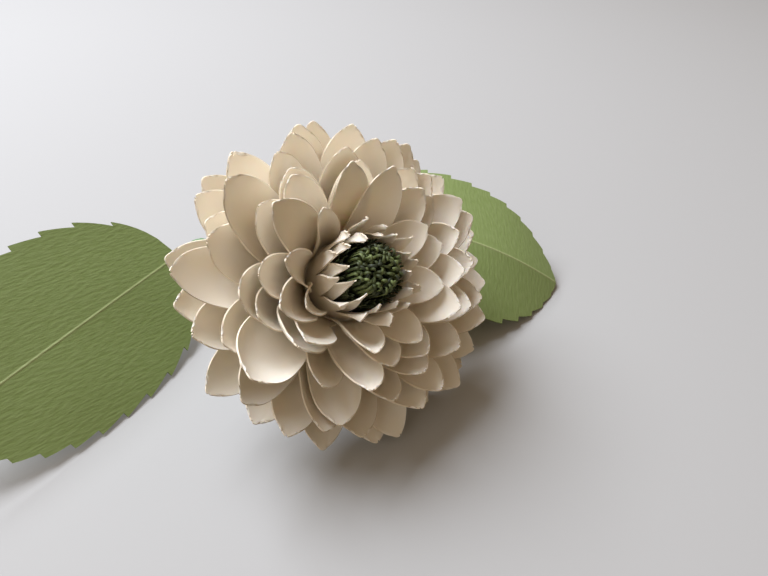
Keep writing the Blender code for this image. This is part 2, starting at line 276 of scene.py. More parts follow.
@dataclass(frozen=True)
class RibbedCard(Finish):
    """Leaf-green cardstock with laid ribs, pressed between rollers, and a scored midrib.

    The eye gets broken ripples a millimetre or two apart, with painted shade in their hollows and
    painted light on their crests, and a pale line where the stylus has crushed the dyed face.
    """

    name: str = "leaf_green_ribbed_card"
    roughness: float = 0.62
    face: str = "#84955A"
    # painted shade: the colour that the hollows of the ribs are given
    dark: str = "#7B8D4E"
    score: str = "#A6B17B"
    rib_pitch: float = 1.35  # mm
    rib_length: float = 4.6  # mm
    rib_cells: float = 1.6  # cells of noise to that pitch and that length
    # painted shade and light: the ribs' colour follows their height, darker below and paler above
    rib_shade_to: float = 0.3  # noise below this is dark, and above the next it is pale
    rib_light_from: float = 0.7
    rib_strength: float = 0.24
    rib_depth: float = 0.6 * MM
    fibre_size: float = 0.5  # mm, coarser than real fibres, which wouldn't show
    tooth: float = 0.12
    tooth_depth: float = 0.05 * MM

    def dress(self, tree: bpy.types.NodeTree, shader: bpy.types.Node) -> None:
        """Adds the ribs with their painted shade and light, the score line and the tooth of the
        card.

        Args:
            tree: the material's node tree.
            shader: its Principled shader.
        """
        card = add_node(tree, "ShaderNodeAttribute", {}, attribute_name="card").outputs["Vector"]
        stretch = add_node(
            tree,
            "ShaderNodeVectorMath",
            {0: card, 1: (1.0 / self.rib_length, 1.0 / self.rib_pitch, 1.0)},
            operation="MULTIPLY",
        )
        ribs = add_node(
            tree,
            "ShaderNodeTexNoise",
            {
                "Vector": stretch.outputs[0],
                "Scale": self.rib_cells,
                "Detail": 2.0,
                "Roughness": 0.45,
            },
        )
        fibres = add_node(
            tree, "ShaderNodeTexNoise", {"Vector": card, "Scale": 1.0 / self.fibre_size}
        )
        # painted shade and light: the ribs' own height picks the colour, darker in hollows, paler
        # on crests
        tone = add_node(
            tree,
            "ShaderNodeMapRange",
            {
                "Value": ribs.outputs["Fac"],
                "From Min": self.rib_shade_to,
                "From Max": self.rib_light_from,
            },
        )
        # painted shade and light on the ribs, over the dyed green
        dyed = add_node(
            tree,
            "ShaderNodeMix",
            {0: tone.outputs["Result"], 6: linear(self.dark), 7: linear(self.face)},
            data_type="RGBA",
        )
        scored = add_node(tree, "ShaderNodeAttribute", {}, attribute_name="score").outputs["Fac"]
        colour = add_node(
            tree,
            "ShaderNodeMix",
            {0: scored, 6: dyed.outputs[2], 7: linear(self.score)},
            data_type="RGBA",
        )
        tree.links.new(colour.outputs[2], shader.inputs["Base Color"])
        ripple = add_node(
            tree,
            "ShaderNodeBump",
            {
                "Height": ribs.outputs["Fac"],
                "Strength": self.rib_strength,
                "Distance": self.rib_depth,
            },
        )
        tooth = add_node(
            tree,
            "ShaderNodeBump",
            {
                "Height": fibres.outputs["Fac"],
                "Strength": self.tooth,
                "Distance": self.tooth_depth,
                "Normal": ripple.outputs["Normal"],
            },
        )
        tree.links.new(tooth.outputs["Normal"], shader.inputs["Normal"])


@dataclass(frozen=True)
class DyedPaper(Finish):
    """Green paper, dyed through and cut for the fringe, or waxed and stretched for floral tape.

    The eye gets a deep green with lighter and darker streaks, fine wrinkles, and a small satin
    light along each curl or turn.
    """

    light: str = "#6F7C44"
    dark: str = "#12170B"
    streak: float = 1.2  # mm
    least_light: float = 0.1  # share of the light green in the darkest strip
    wrinkle: float = 0.3
    wrinkle_depth: float = 0.12 * MM

    def dress(self, tree: bpy.types.NodeTree, shader: bpy.types.Node) -> None:
        """Adds the streaks, the tone of each strip and fine wrinkles.

        Args:
            tree: the material's node tree.
            shader: its Principled shader.
        """
        place = add_node(tree, "ShaderNodeTexCoord", {}).outputs["Object"]
        streaks = add_node(
            tree,
            "ShaderNodeTexNoise",
            {"Vector": place, "Scale": per_mm(self.streak), "Detail": 3.0},
        )
        # the tone of each strip: random for the strands, and painted shade for the uncut rolls
        tone = add_node(tree, "ShaderNodeAttribute", {}, attribute_name="tone").outputs["Fac"]
        both = add_node(
            tree,
            "ShaderNodeMath",
            {0: streaks.outputs["Fac"], 1: tone, 2: self.least_light},
            operation="MULTIPLY_ADD",
        )
        colour = add_node(
            tree,
            "ShaderNodeMix",
            {0: both.outputs[0], 6: linear(self.dark), 7: linear(self.light)},
            data_type="RGBA",
        )
        tree.links.new(colour.outputs[2], shader.inputs["Base Color"])
        wrinkles = add_node(
            tree,
            "ShaderNodeBump",
            {
                "Height": streaks.outputs["Fac"],
                "Strength": self.wrinkle,
                "Distance": self.wrinkle_depth,
            },
        )
        tree.links.new(wrinkles.outputs["Normal"], shader.inputs["Normal"])


@dataclass(frozen=True)
class DrawnSteel(Finish):
    """Florist's wire of bright steel, drawn through a die.

    The eye gets a grey metal with softly blurred lights and faint duller patches.
    """

    name: str = "drawn_steel_wire"
    roughness: float = 0.34
    metal: str = "#B8B5AF"
    dull: str = "#8E8B86"
    mark: float = 1.5  # mm

    def dress(self, tree: bpy.types.NodeTree, shader: bpy.types.Node) -> None:
        """Adds the metal's colour and its dull marks.

        Args:
            tree: the material's node tree.
            shader: its Principled shader.
        """
        shader.inputs["Metallic"].default_value = 1.0
        place = add_node(tree, "ShaderNodeTexCoord", {}).outputs["Object"]
        marks = add_node(
            tree, "ShaderNodeTexNoise", {"Vector": place, "Scale": per_mm(self.mark)}
        )
        colour = add_node(
            tree,
            "ShaderNodeMix",
            {0: marks.outputs["Fac"], 6: linear(self.metal), 7: linear(self.dull)},
            data_type="RGBA",
        )
        tree.links.new(colour.outputs[2], shader.inputs["Base Color"])


CREAM_CARD = CreamCard()
CUT_EDGE = CutEdge()
RIBBED_CARD = RibbedCard()
FRINGE_PAPER = DyedPaper("fringe_green_paper_cut", 0.62)
FLORAL_TAPE = DyedPaper("floral_tape_stretched", 0.45, "#5A8A4A", "#33602F", 2.0)
WIRE_STEEL = DrawnSteel()


def smooth(low: float, high: float, value: float) -> float:
    """A share from 0 at low to 1 at high that starts and ends gently."""
    part = min(1.0, max(0.0, (value - low) / (high - low)))
    return part * part * (3.0 - 2.0 * part)


def around(radius: float, angle: float, height: float) -> Vector:
    """A point round the head's axis, at a radius, an angle and a height."""
    return Vector((radius * math.cos(angle), radius * math.sin(angle), height))


@dataclass(frozen=True)
class HeadFrame:
    """Where the head is: its origin under the lowest hub, and its axis out of the face."""

    origin: Vector
    right: Vector
    up: Vector
    axis: Vector

    @staticmethod
    def from_wire(wire: bpy.types.Object, axis: Vector, top: float) -> HeadFrame:
        """Finds the head from the top of the wire that holds it.

        Args:
            wire: the wire's node.
            axis: the way the head faces.
            top: how far the wire's top is above the head's origin.

        Returns:
            The head's frame.
        """
        axis = axis.normalized()
        reach = max(vert.co.dot(axis) for vert in wire.data.vertices)
        cap = [v.co for v in wire.data.vertices if v.co.dot(axis) > reach - MERGE]
        right = (Vector((1, 0, 0)) - axis * axis.x).normalized()
        origin = sum(cap, Vector()) / len(cap) - axis * top
        return HeadFrame(origin, right, axis.cross(right), axis)

    def world(self, spot: Vector) -> Vector:
        """A point of the head in the table's frame."""
        return self.origin + self.right * spot.x + self.up * spot.y + self.axis * spot.z

    def down_the_stem(self, node: bpy.types.Object) -> float:
        """How far a node reaches below the head's origin, along the stem."""
        return -min((vert.co - self.origin).dot(self.axis) for vert in node.data.vertices)


@dataclass
class MeshMaker:
    """Collects vertices and faces of one piece, and turns them into a riding object."""

    bm: bmesh.types.BMesh
    floats: dict

    @staticmethod
    def start(*names: str) -> MeshMaker:
        """A maker with these named numbers kept on each vertex."""
        bm = bmesh.new()
        return MeshMaker(bm, {name: bm.verts.layers.float.new(name) for name in names})

    def vert(self, spot: Vector, **values: float) -> bmesh.types.BMVert:
        """Adds a vertex with its named numbers.

        Args:
            spot: where it is.
            **values: the number to keep on it under each name.

        Returns:
            The vertex.
        """
        vert = self.bm.verts.new(spot)
        for name, value in values.items():
            vert[self.floats[name]] = value
        return vert

    def grid(self, rows: list[list[bmesh.types.BMVert]], closed: bool = False) -> None:
        """Joins rows of vertices with quads.

        Args:
            rows: rows of the same length.
            closed: whether the end of each row meets its start.
        """
        for low, high in zip(rows, rows[1:]):
            count = len(low) if closed else len(low) - 1
            for i in range(count):
                j = (i + 1) % len(low)
                self.bm.faces.new((low[i], low[j], high[j], high[i]))

    def sweep(self, path: list[Vector], wide: list[Vector], girth: list, tone: float) -> None:
        """Adds a closed strip or tube along a path.

        Args:
            path: the points it follows.
            wide: for each point, the direction of its width.
            girth: for each point, a list of (angle, half width, half thickness) round it.
            tone: how light this strip's paper is, from 0 to 1.
        """
        rows = []
        for index, spot in enumerate(path):
            ahead = path[min(index + 1, len(path) - 1)] - path[max(index - 1, 0)]
            flat = wide[index] - ahead * wide[index].dot(ahead) / ahead.length_squared
            flat.normalize()
            thick = ahead.cross(flat).normalized()
            row = []
            for angle, half_wide, half_thick in girth[index]:
                offset = flat * half_wide * math.cos(angle) + thick * half_thick * math.sin(angle)
                row.append(self.vert(spot + offset, tone=tone))
            rows.append(row)
        self.grid(rows, closed=True)
        self.bm.faces.new(list(reversed(rows[0])))
        self.bm.faces.new(rows[-1])

    def piece(
        self, name: str, finishes: tuple[Finish, ...], slot: Slot, node: str, thickness: float = 0.0
    ) -> bpy.types.Object:
        """Turns what was collected into a piece that stands for one node.

        Args:
            name: the piece's name.
            finishes: the finish of its faces, and of its cut edges where it is a sheet.
            slot: the record's material slot; not used.
            node: the node that it replaces.
            thickness: how thick the sheet is, or 0 for a closed shape.

        Returns:
            The piece.
        """
        bmesh.ops.remove_doubles(self.bm, verts=self.bm.verts, dist=MERGE)
        mesh = bpy.data.meshes.new(name)
        self.bm.to_mesh(mesh)
        self.bm.free()
        for finish in finishes:
            mesh.materials.append(finish.material())
        if thickness:
            mesh = self.thickened(mesh, thickness)
            mesh.name = name
        mesh.shade_smooth()
        mesh.set_sharp_from_angle(angle=CREASE)
        made = bpy.data.objects.new(name, mesh)
        bpy.context.scene.collection.objects.link(made)
        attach(made, ROOT)
        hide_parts(node)
        return made

    @staticmethod
    def thickened(mesh: bpy.types.Mesh, thickness: float) -> bpy.types.Mesh:
        """The open sheet with its thickness, half to each side, its cut edges in the next finish.

        Args:
            mesh: the open sheet.
            thickness: how thick it is.

        Returns:
            A closed mesh.
        """
        blank = bpy.data.objects.new("blank", mesh)
        bpy.context.scene.collection.objects.link(blank)
        solidify = blank.modifiers.new("thickness", "SOLIDIFY")
        solidify.thickness = thickness
        solidify.offset = 0.0
        solidify.material_offset_rim = 1
        graph = bpy.context.evaluated_depsgraph_get()
        made = bpy.data.meshes.new_from_object(blank.evaluated_get(graph))
        bpy.data.objects.remove(blank)
        bpy.data.meshes.remove(mesh)
        return made


@dataclass(frozen=True)
class Pattern:
    """One die-cut sheet: where its petals end, their width and cup, and how it is turned."""

    tip_radius: float  # from the head's axis
    tip_height: float  # above the head's origin
    half_width: float  # at the widest place
    cup: float  # how far the sides stand above the middle there
    turn: float  # degrees
    bow: float = 0.09  # how far a petal sags between the hub and the tip, as a share
    tip: float = 0.26  # width of a tip as a share of the petal


@dataclass(frozen=True)
class Mood:
    """How one petal departs from its sheet: every paper petal was curled by hand."""

    lift: float = 0.0  # mm that its tip stands above the pattern's
    swing: float = 0.0  # degrees round the head
    roll: float = 0.0  # degrees about its own length
    cup: float = 1.0  # times the sheet's cup
    curl: float = 0.0  # mm that the end of the petal turns up
    stretch: float = 1.0  # times the length
    width: float = 1.0  # times the width
    bow: float = 0.0  # added to the sheet's bow


@dataclass(frozen=True)
class Petal:
    """One petal of a sheet, with its own mood."""

    pattern: Pattern
    level: float  # height of the middle of its sheet's hub
    azimuth: float
    mood: Mood
    seed: float  # where in the noise its waves start
    hub_radius: float
    sector: float  # half the angle that it has at the hub

    SLOT = 0.5 * MM  # between the feet of two petals
    WIDEST = 0.53  # share of the length
    SHOULDER = 0.7  # 0.5 would be an ellipse, and more is more pointed
    TIP_ARC = 0.055  # how far the corners of the end lie back, as a share of the length
    NOTCH_START = 0.85  # share of the length where the card starts to follow a nick
    NOTCH_LENGTH = 0.15
    CUP_REACH = 0.8  # below 1, some of the cup is left at the tip
    CUP_SKEW = 1.3  # above 1, the deepest of the cup is nearer the tip
    LEAST_BEND = 0.01  # radians from the middle to a side
    MOST_BEND = 1.75
    CURL_START = 0.55  # share of the length
    CURL_END = 1.15  # past the tip, so that the curl still rises there
    CURL_GAIN = 1.4  # makes up for the part of the curl that is past the tip
    WAVE = 0.3 * MM
    WAVE_LENGTH = 11.0 * MM
    WAVE_START = 0.1  # shares of the length, here and below
    WAVE_FULL = 0.6
    ROLL_FULL = 0.7
    SWING_FULL = 0.3

    def half_width(self, share: float) -> float:
        """Half the width of the petal.

        Args:
            share: 0 at the hub's edge, 1 at the tip.

        Returns:
            The distance from the middle line to a side, along the card.
        """
        base = self.sector * self.hub_radius
        widest = self.pattern.half_width * self.mood.width
        if share < self.WIDEST:
            return base + (widest - base) * math.sin(0.5 * math.pi * share / self.WIDEST)
        past = min(1.0, (share - self.WIDEST) / (1.0 - self.WIDEST))
        tip = self.pattern.tip
        return widest * (tip + (1.0 - tip) * (1.0 - past**2) ** self.SHOULDER)

    def length(self) -> float:
        """The straight distance from the hub's edge to the tip."""
        run = self.pattern.tip_radius - self.hub_radius
        return math.hypot(run, self.pattern.tip_height - self.level)

    def point(self, share: float, across: float, cut: float = 0.0) -> Vector:
        """A point of the petal in the head's frame.

        Args:
            share: 0 at the hub's edge, 1 at the tip.
            across: -1 at one edge, 1 at the other.
            cut: how far a notch sets the end back, as a share of the length.

        Returns:
            The point.
        """
        mood = self.mood
        hub = Vector((self.hub_radius, self.level))
        chord = Vector((self.pattern.tip_radius, self.pattern.tip_height)) - hub
        chord *= mood.stretch
        chord.rotate(Matrix.Rotation(mood.lift * MM / chord.length, 2))
        inward = Vector((-chord.y, chord.x)).normalized()
        bow = self.pattern.bow + mood.bow
        bend = hub + chord / 2 - inward * 2 * bow * chord.length
        reach = share * (1.0 - self.TIP_ARC * share**3 * across**2)
        reach -= cut * max(0.0, (share - self.NOTCH_START) / self.NOTCH_LENGTH)
        rest = 1.0 - reach
        middle = hub * rest * rest + bend * 2 * rest * reach + (hub + chord) * reach * reach
        ahead = (bend - hub) * rest + (hub + chord - bend) * reach
        normal = Vector((-ahead.y, ahead.x)).normalized()
        half = self.half_width(share)
        roll = math.radians(mood.roll) * smooth(0.0, self.ROLL_FULL, share)
        bowl = math.sin(math.pi * share**self.CUP_SKEW * self.CUP_REACH)
        widest = self.pattern.half_width * mood.width
        bent = 2.0 * self.pattern.cup * mood.cup * bowl * half / widest**2
        bent = max(self.LEAST_BEND, min(self.MOST_BEND, bent))
        room = (self.sector * middle.x - self.SLOT / 2) * bent / math.sin(bent)
        half = min(half, room)
        side = half * math.sin(bent * across) / bent
        rise = half * (1.0 - math.cos(bent * across)) / bent
        rise += side * math.sin(roll)
        rise += mood.curl * MM * smooth(self.CURL_START, self.CURL_END, share) * self.CURL_GAIN
        ripple = Vector((reach * chord.length, side, self.seed)) / self.WAVE_LENGTH
        rise += self.WAVE * noise.noise(ripple) * smooth(self.WAVE_START, self.WAVE_FULL, share)
        spot = middle + normal * rise
        swing = math.radians(mood.swing) * smooth(0.0, self.SWING_FULL, share)
        angle = self.azimuth + swing - side * math.cos(roll) / middle.x
        return around(spot.x, angle, spot.y)


@dataclass
class PetalHead:
    """The eleven die-cut sheets of the head, each petal settled on those below it."""

    head: HeadFrame
    petals: int = 8
    hub_radius: float = 10.8 * MM
    hole: float = 1.2 * MM
    paper: float = 0.35 * MM
    pitch: float = 0.65 * MM  # from one hub to the next
    clear: float = 0.5 * MM  # between the middles of two cards that touch
    deepest: float = 3.5 * MM  # a petal further inside another one isn't looked for
    table_gap: float = 0.25 * MM  # lowest that the middle of a card may lie
    table_bend: float = 1.4 * MM  # card lower than this is pressed up by the table
    rings: list = field(default_factory=list)

    PATTERNS = (
        Pattern(45.5 * MM, 4.2 * MM, 8.6 * MM, 1.3 * MM, 41.0),
        Pattern(45.2 * MM, 7.4 * MM, 8.6 * MM, 1.3 * MM, 12.0),
        Pattern(44.4 * MM, 10.6 * MM, 8.6 * MM, 1.3 * MM, 21.0),
        Pattern(43.2 * MM, 13.8 * MM, 8.6 * MM, 1.3 * MM, 2.0),
        Pattern(41.4 * MM, 16.8 * MM, 8.6 * MM, 1.3 * MM, 29.5),
        Pattern(38.6 * MM, 19.6 * MM, 8.3 * MM, 1.4 * MM, 38.0),
        Pattern(35.4 * MM, 22.0 * MM, 8.0 * MM, 1.5 * MM, 12.0),
        Pattern(31.8 * MM, 23.9 * MM, 7.7 * MM, 1.6 * MM, 24.0, 0.07, 0.24),
        Pattern(28.0 * MM, 25.2 * MM, 7.3 * MM, 1.6 * MM, 5.0, 0.04, 0.22),
        Pattern(24.2 * MM, 25.9 * MM, 6.9 * MM, 1.5 * MM, 19.0, 0.0, 0.22),
        Pattern(20.4 * MM, 26.1 * MM, 6.4 * MM, 1.4 * MM, 39.0, -0.04, 0.22),
    )
    MOODS = {  # petals that stand out, by sheet and number
        (4, 4): Mood(stretch=1.08, cup=1.2, roll=-10.0),
        (7, 3): Mood(lift=-1.0, swing=6.0, stretch=1.22, cup=1.4, curl=0.5, width=1.1),
        (7, 4): Mood(swing=1.0, cup=1.8, curl=0.8, width=1.12),
        (7, 5): Mood(
            lift=-0.5, swing=-17.0, roll=-12.0, stretch=1.34, cup=1.6, curl=2.8, width=1.18
        ),
        (8, 1): Mood(lift=-0.5, swing=-4.0, cup=1.7, curl=0.6),
        (8, 2): Mood(lift=1.0, swing=17.0, cup=2.1, width=1.08),
        (8, 3): Mood(lift=1.0, swing=-5.0, cup=1.9, curl=0.5, width=1.1),
        (8, 6): Mood(swing=9.0, stretch=0.97, cup=1.8, curl=2.4, width=1.08),
        (8, 7): Mood(swing=8.0, cup=1.5, curl=0.5),
        (9, 0): Mood(cup=1.5, curl=0.3, roll=8.0),
        (9, 1): Mood(cup=1.7, curl=0.4, roll=-12.0, width=1.1),
        (9, 2): Mood(lift=-0.5, cup=1.4),
        (9, 3): Mood(swing=-6.0, stretch=1.08, cup=2.2, width=1.1),
        (9, 4): Mood(lift=0.6, stretch=1.05, cup=2.5, curl=0.8, width=1.1),
        (9, 5): Mood(swing=-7.0, roll=-10.0, stretch=1.16, cup=1.4, curl=3.4, width=1.2),
        (9, 6): Mood(swing=-8.0, stretch=1.17, cup=1.9, curl=2.8, width=1.1),
        (9, 7): Mood(swing=-11.0, stretch=0.96, cup=1.8, curl=2.0, width=1.12),
        (10, 0): Mood(lift=-0.5, swing=4.0, cup=1.4, roll=10.0, stretch=0.92),
        (10, 1): Mood(lift=-0.5, swing=-5.0, stretch=1.14, cup=1.9, curl=0.8, width=1.1),
        (10, 2): Mood(lift=3.0, swing=-1.0, stretch=1.3, cup=1.4, width=0.97, bow=-0.07),
        (10, 3): Mood(lift=-0.5, stretch=1.32, cup=1.8, width=1.15, bow=-0.06),
        (10, 4): Mood(
            lift=-0.4, swing=4.0, stretch=1.18, cup=2.0, curl=1.8, width=1.1, bow=-0.05
        ),
        (10, 5): Mood(
            lift=-0.4, swing=-20.0, roll=-10.0, stretch=1.2, cup=1.3, curl=3.0, width=1.2, bow=-0.03
        ),
        (10, 6): Mood(lift=-0.6, swing=-4.0, cup=1.7, curl=1.4, roll=6.0, width=1.05),
        (10, 7): Mood(lift=-0.6, swing=8.0, stretch=1.12, cup=1.6, curl=1.0, width=1.1),
        (11, 0): Mood(lift=-0.6, cup=1.5, roll=12.0),
        (11, 1): Mood(lift=-2.5, swing=-1.0, stretch=1.38, cup=1.4, width=1.04, bow=-0.04),
        (11, 2): Mood(lift=0.2, swing=2.0, cup=1.9, roll=6.0, width=0.74),
        (11, 3): Mood(
            lift=-1.0, swing=5.0, cup=1.9, curl=1.0, stretch=1.24, width=0.92, bow=-0.02
        ),
        (11, 4): Mood(lift=0.2, swing=-9.0, cup=1.9, curl=1.4, width=0.85, bow=-0.02),
        (11, 5): Mood(
            lift=-0.8, swing=4.0, cup=1.9, curl=3.2, stretch=1.12, width=1.05, bow=-0.04
        ),
        (11, 6): Mood(lift=-1.2, cup=1.5, curl=0.6, stretch=1.05),
        (11, 7): Mood(lift=-1.0, cup=1.4, curl=0.3),
    }
    LIFTS = (4.0,) * 7 + (3.2, 2.4, 1.6, 1.2)  # most that a petal of each sheet is lifted, in mm
    SEED = 100  # of the first sheet
    LIFT_SPREAD = 0.8  # mm
    SWING_SPREAD = 1.2  # degrees
    ROLL_SPREAD = 4.0  # degrees in the lowest sheet, and twice as much in the highest
    CUPS = (1.4, 2.2)  # least and most in the lowest sheet
    CUP_GROWTH = 0.7  # how much higher the most is in the highest sheet
    CURL = (0.7, 0.9)  # mean and spread in the lowest sheet, in mm
    CURL_GROWTH = 2.3  # mm that the mean is higher in the highest sheet
    STRETCHES = (0.97, 1.01)
    WIDTHS = (0.94, 1.03)
    WAVE_STEPS = (7.3, 1.7)  # from one sheet and one petal to the next in the noise
    ROWS = 24
    ROW_CROWDING = 1.25  # above 1, rows are closer near the tip
    HUB_ROWS = (0.0, 0.35, 0.7, 1.0)  # from the hole to the hub's edge, where the petal starts
    COLUMNS = (0.0, 0.14, 0.28, 0.42, 0.56, 0.7, 0.83, 0.95, 1.0)  # from the middle to a side
    NOTCH_COLUMNS = (4, 6, 8, 10, 12)
    NOTCH_COUNTS = (0, 1, 1, 2)  # a petal has one of these many nicks
    NOTCH_DEPTH = (0.3, 0.7)  # mm
    PROBE_SHARES = (0.45, 0.6, 0.75, 0.88, 1.0)  # where a petal is held against those below
    PROBE_ACROSS = (-1.0, -0.66, -0.33, 0.0, 0.33, 0.66, 1.0)
    SETTLE_ROUNDS = 4
    SETTLE_STEP = 0.8  # share of the missing lift that one round adds
    AT_REST = 0.02 * MM
    PRESS_ROUNDS = 3
    PRESS_SPREAD = 0.6  # share of a press that the points beside it follow

    def build(self) -> list[bpy.types.Object]:
        """Builds every sheet from the lowest up.

        Returns:
            The pieces.
        """
        grids: list[list[list]] = []
        for index, pattern in enumerate(self.PATTERNS):
            below = self.tree(grids)
            dice = random.Random(self.SEED + index)
            ring = []
            for number in range(self.petals):
                petal = self.petal(index, number, pattern, dice)
                ring.append(self.settled(petal, below, self.LIFTS[index]))
            self.rings.append(ring)
            grids.append([self.rows(petal, dice) for petal in ring])
        for index in range(len(grids) - 2, -1, -1):
            above = self.tree(grids[index + 1 :])
            grids[index] = [self.tucked(grid, above) for grid in grids[index]]
        return [self.sheet(index, rows) for index, rows in enumerate(grids)]

    @staticmethod
    def tree(grids: list) -> BVHTree | None:
        """The surfaces of some sheets, ready for casting rays at them.

        Args:
            grids: for each sheet, the rows of each of its petals.

        Returns:
            The tree, or None where there is no sheet.
        """
        spots: list[Vector] = []
        faces: list[tuple] = []
        for grid in (petal for sheet in grids for petal in sheet):
            start, width = len(spots), len(grid[0])
            spots += [spot for row in grid for spot, _ in row]
            for i in range(start, start + width * (len(grid) - 1)):
                if (i - start) % width < width - 1:
                    faces.append((i, i + 1, i + width + 1, i + width))
        return BVHTree.FromPolygons(spots, faces) if faces else None

    def tucked(self, grid: list, above: BVHTree) -> list:
        """The petal with whatever pokes through the petals above it pressed down under them.

        Args:
            grid: the petal's rows.
            above: every sheet above it.

        Returns:
            Its rows again.
        """
        push = []
        for row in grid:
            push.append([])
            for spot, _ in row:
                start = spot + UP * self.clear
                hit = above.ray_cast(start, -UP, self.clear + self.deepest)[0]
                push[-1].append(start.z - hit.z if hit is not None else 0.0)
        for _ in range(self.PRESS_ROUNDS):
            wider = []
            for r, row in enumerate(push):
                near = push[max(0, r - 1)], row, push[min(len(push) - 1, r + 1)]
                wider.append([])
                for c, own in enumerate(row):
                    most = max(max(line[max(0, c - 1) : c + 2]) for line in near)
                    wider[-1].append(max(own, self.PRESS_SPREAD * most))
            push = wider
        first = len(self.HUB_ROWS)  # the hub's rows stay
        return [
            [(spot - UP * down * (r >= first), inset) for (spot, inset), down in zip(row, downs)]
            for r, (row, downs) in enumerate(zip(grid, push))
        ]

    def petal(self, index: int, number: int, pattern: Pattern, dice: random.Random) -> Petal:
        """One petal with its mood: its own where it has one, or else a random one.

        The inner petals roll, cup and curl more than the outer ones.

        Args:
            index: the sheet's number from 0.
            number: the petal's number in its sheet.
            pattern: the sheet's pattern.
            dice: the sheet's own source of random numbers.

        Returns:
            The petal before it is settled.
        """
        inner = index / (len(self.PATTERNS) - 1)
        least_cup, most_cup = self.CUPS
        curl, curl_spread = self.CURL
        mood = Mood(
            lift=dice.gauss(0.0, self.LIFT_SPREAD),
            swing=dice.gauss(0.0, self.SWING_SPREAD),
            roll=dice.gauss(0.0, self.ROLL_SPREAD + self.ROLL_SPREAD * inner),
            cup=dice.uniform(least_cup, most_cup + self.CUP_GROWTH * inner),
            curl=dice.gauss(curl + self.CURL_GROWTH * inner, curl_spread),
            stretch=dice.uniform(*self.STRETCHES),
            width=dice.uniform(*self.WIDTHS),
        )
        mood = self.MOODS.get((index + 1, number), mood)
        azimuth = math.radians(pattern.turn + 360.0 / self.petals * number)
        level = self.paper / 2 + self.pitch * index
        sheet_step, petal_step = self.WAVE_STEPS
        seed = sheet_step * index + petal_step * number
        sector = math.pi / self.petals
        return Petal(pattern, level, azimuth, mood, seed, self.hub_radius, sector)

    def settled(self, petal: Petal, below: BVHTree | None, most: float) -> Petal:
        """The petal lifted until it rests on the petals below instead of passing through them.

        Args:
            petal: the petal as its pattern and mood put it.
            below: every sheet below it.
            most: how far it may be lifted above its mood's own lift, in millimetres.

        Returns:
            The petal with enough lift.
        """
        if below is None:
            return petal
        limit = petal.mood.lift + most
        for _ in range(self.SETTLE_ROUNDS):
            need = 0.0
            for share in self.PROBE_SHARES:
                for across in self.PROBE_ACROSS:
                    spot = petal.point(share, across)
                    hit = below.ray_cast(spot - UP * self.clear, UP, self.deepest)[0]
                    if hit is not None:
                        need = max(need, (hit.z - spot.z + self.clear) / share)
            if need < self.AT_REST:
                break
            lift = min(petal.mood.lift + self.SETTLE_STEP * need / MM, limit)
            petal = replace(petal, mood=replace(petal.mood, lift=lift))
        return petal

    def rows(self, petal: Petal, dice: random.Random) -> list[list[tuple[Vector, float]]]:
        """The petal and its share of the hub as rows of points with their distance from the cut.

        Args:
            petal: the settled petal.
            dice: the sheet's own source of random numbers.

        Returns:
            Rows from the hole outwards.
        """
        columns = [-c for c in reversed(self.COLUMNS)] + list(self.COLUMNS[1:])
        cuts = [0.0] * len(columns)
        for column in dice.sample(self.NOTCH_COLUMNS, dice.choice(self.NOTCH_COUNTS)):
            cuts[column] = dice.uniform(*self.NOTCH_DEPTH) * MM / petal.length()
        angles = [petal.azimuth - across * petal.sector for across in columns]
        rows = []
        for part in self.HUB_ROWS[:-1]:
            radius = self.hole + (self.hub_radius - self.hole) * part
            rows.append([(around(radius, angle, petal.level), INSIDE) for angle in angles])
        for step in range(self.ROWS + 1):
            share = 1.0 - (1.0 - step / self.ROWS) ** self.ROW_CROWDING
            row = []
            for across, cut, angle in zip(columns, cuts, angles):
                aside = (1.0 - abs(across)) * petal.half_width(share)
                inset = min(aside, (1.0 - share) * petal.length()) / MM
                if step == 0:
                    spot = around(petal.hub_radius, angle, petal.level)
                else:
                    spot = petal.point(share, across, cut)
                row.append((spot, inset))
            rows.append(row)
        return rows

    def pressed(self, spot: Vector) -> Vector:
        """Keeps a point above the table, as card that rests on it is.

        Args:
            spot: the point in the table's frame.

        Returns:
            The point, raised where it is low.
        """
        if spot.z >= self.table_bend:
            return spot
        span = self.table_bend - self.table_gap
        height = self.table_gap + span * math.exp((spot.z - self.table_bend) / span)
        return Vector((spot.x, spot.y, height))

    def sheet(self, index: int, grids: list) -> bpy.types.Object:
        """One die-cut sheet.

        Args:
            index: the sheet's number from 0.
            grids: each petal's rows.

        Returns:
            The piece.
        """
        maker = MeshMaker.start("margin")
        for grid in grids:
            rows = []
            for row in grid:
                placed = [(self.pressed(self.head.world(spot)), inset) for spot, inset in row]
                rows.append([maker.vert(spot, margin=inset) for spot, inset in placed])
            maker.grid(rows)
        number = f"{index + 1:02d}"
        highest = max(petal.mood.lift for petal in self.rings[index])
        LOG.info("sheet %s settled with up to %.1f mm of lift", number, highest)
        return maker.piece(
            f"cream_petals_{number}",
            (CREAM_CARD, CUT_EDGE),
            Slot.CREAM,
            f"petal_sheet_{number}",
            self.paper,
        )


@dataclass(frozen=True)
class Strip:
    """A strip of small petals wound round the centre."""

    name: str
    radius: float
    flare: float  # how much further out its tips are than its foot
    height: float
    band: float  # height of the uncut part
    turn: float  # degrees
    lean: float  # mm that its petals lean out


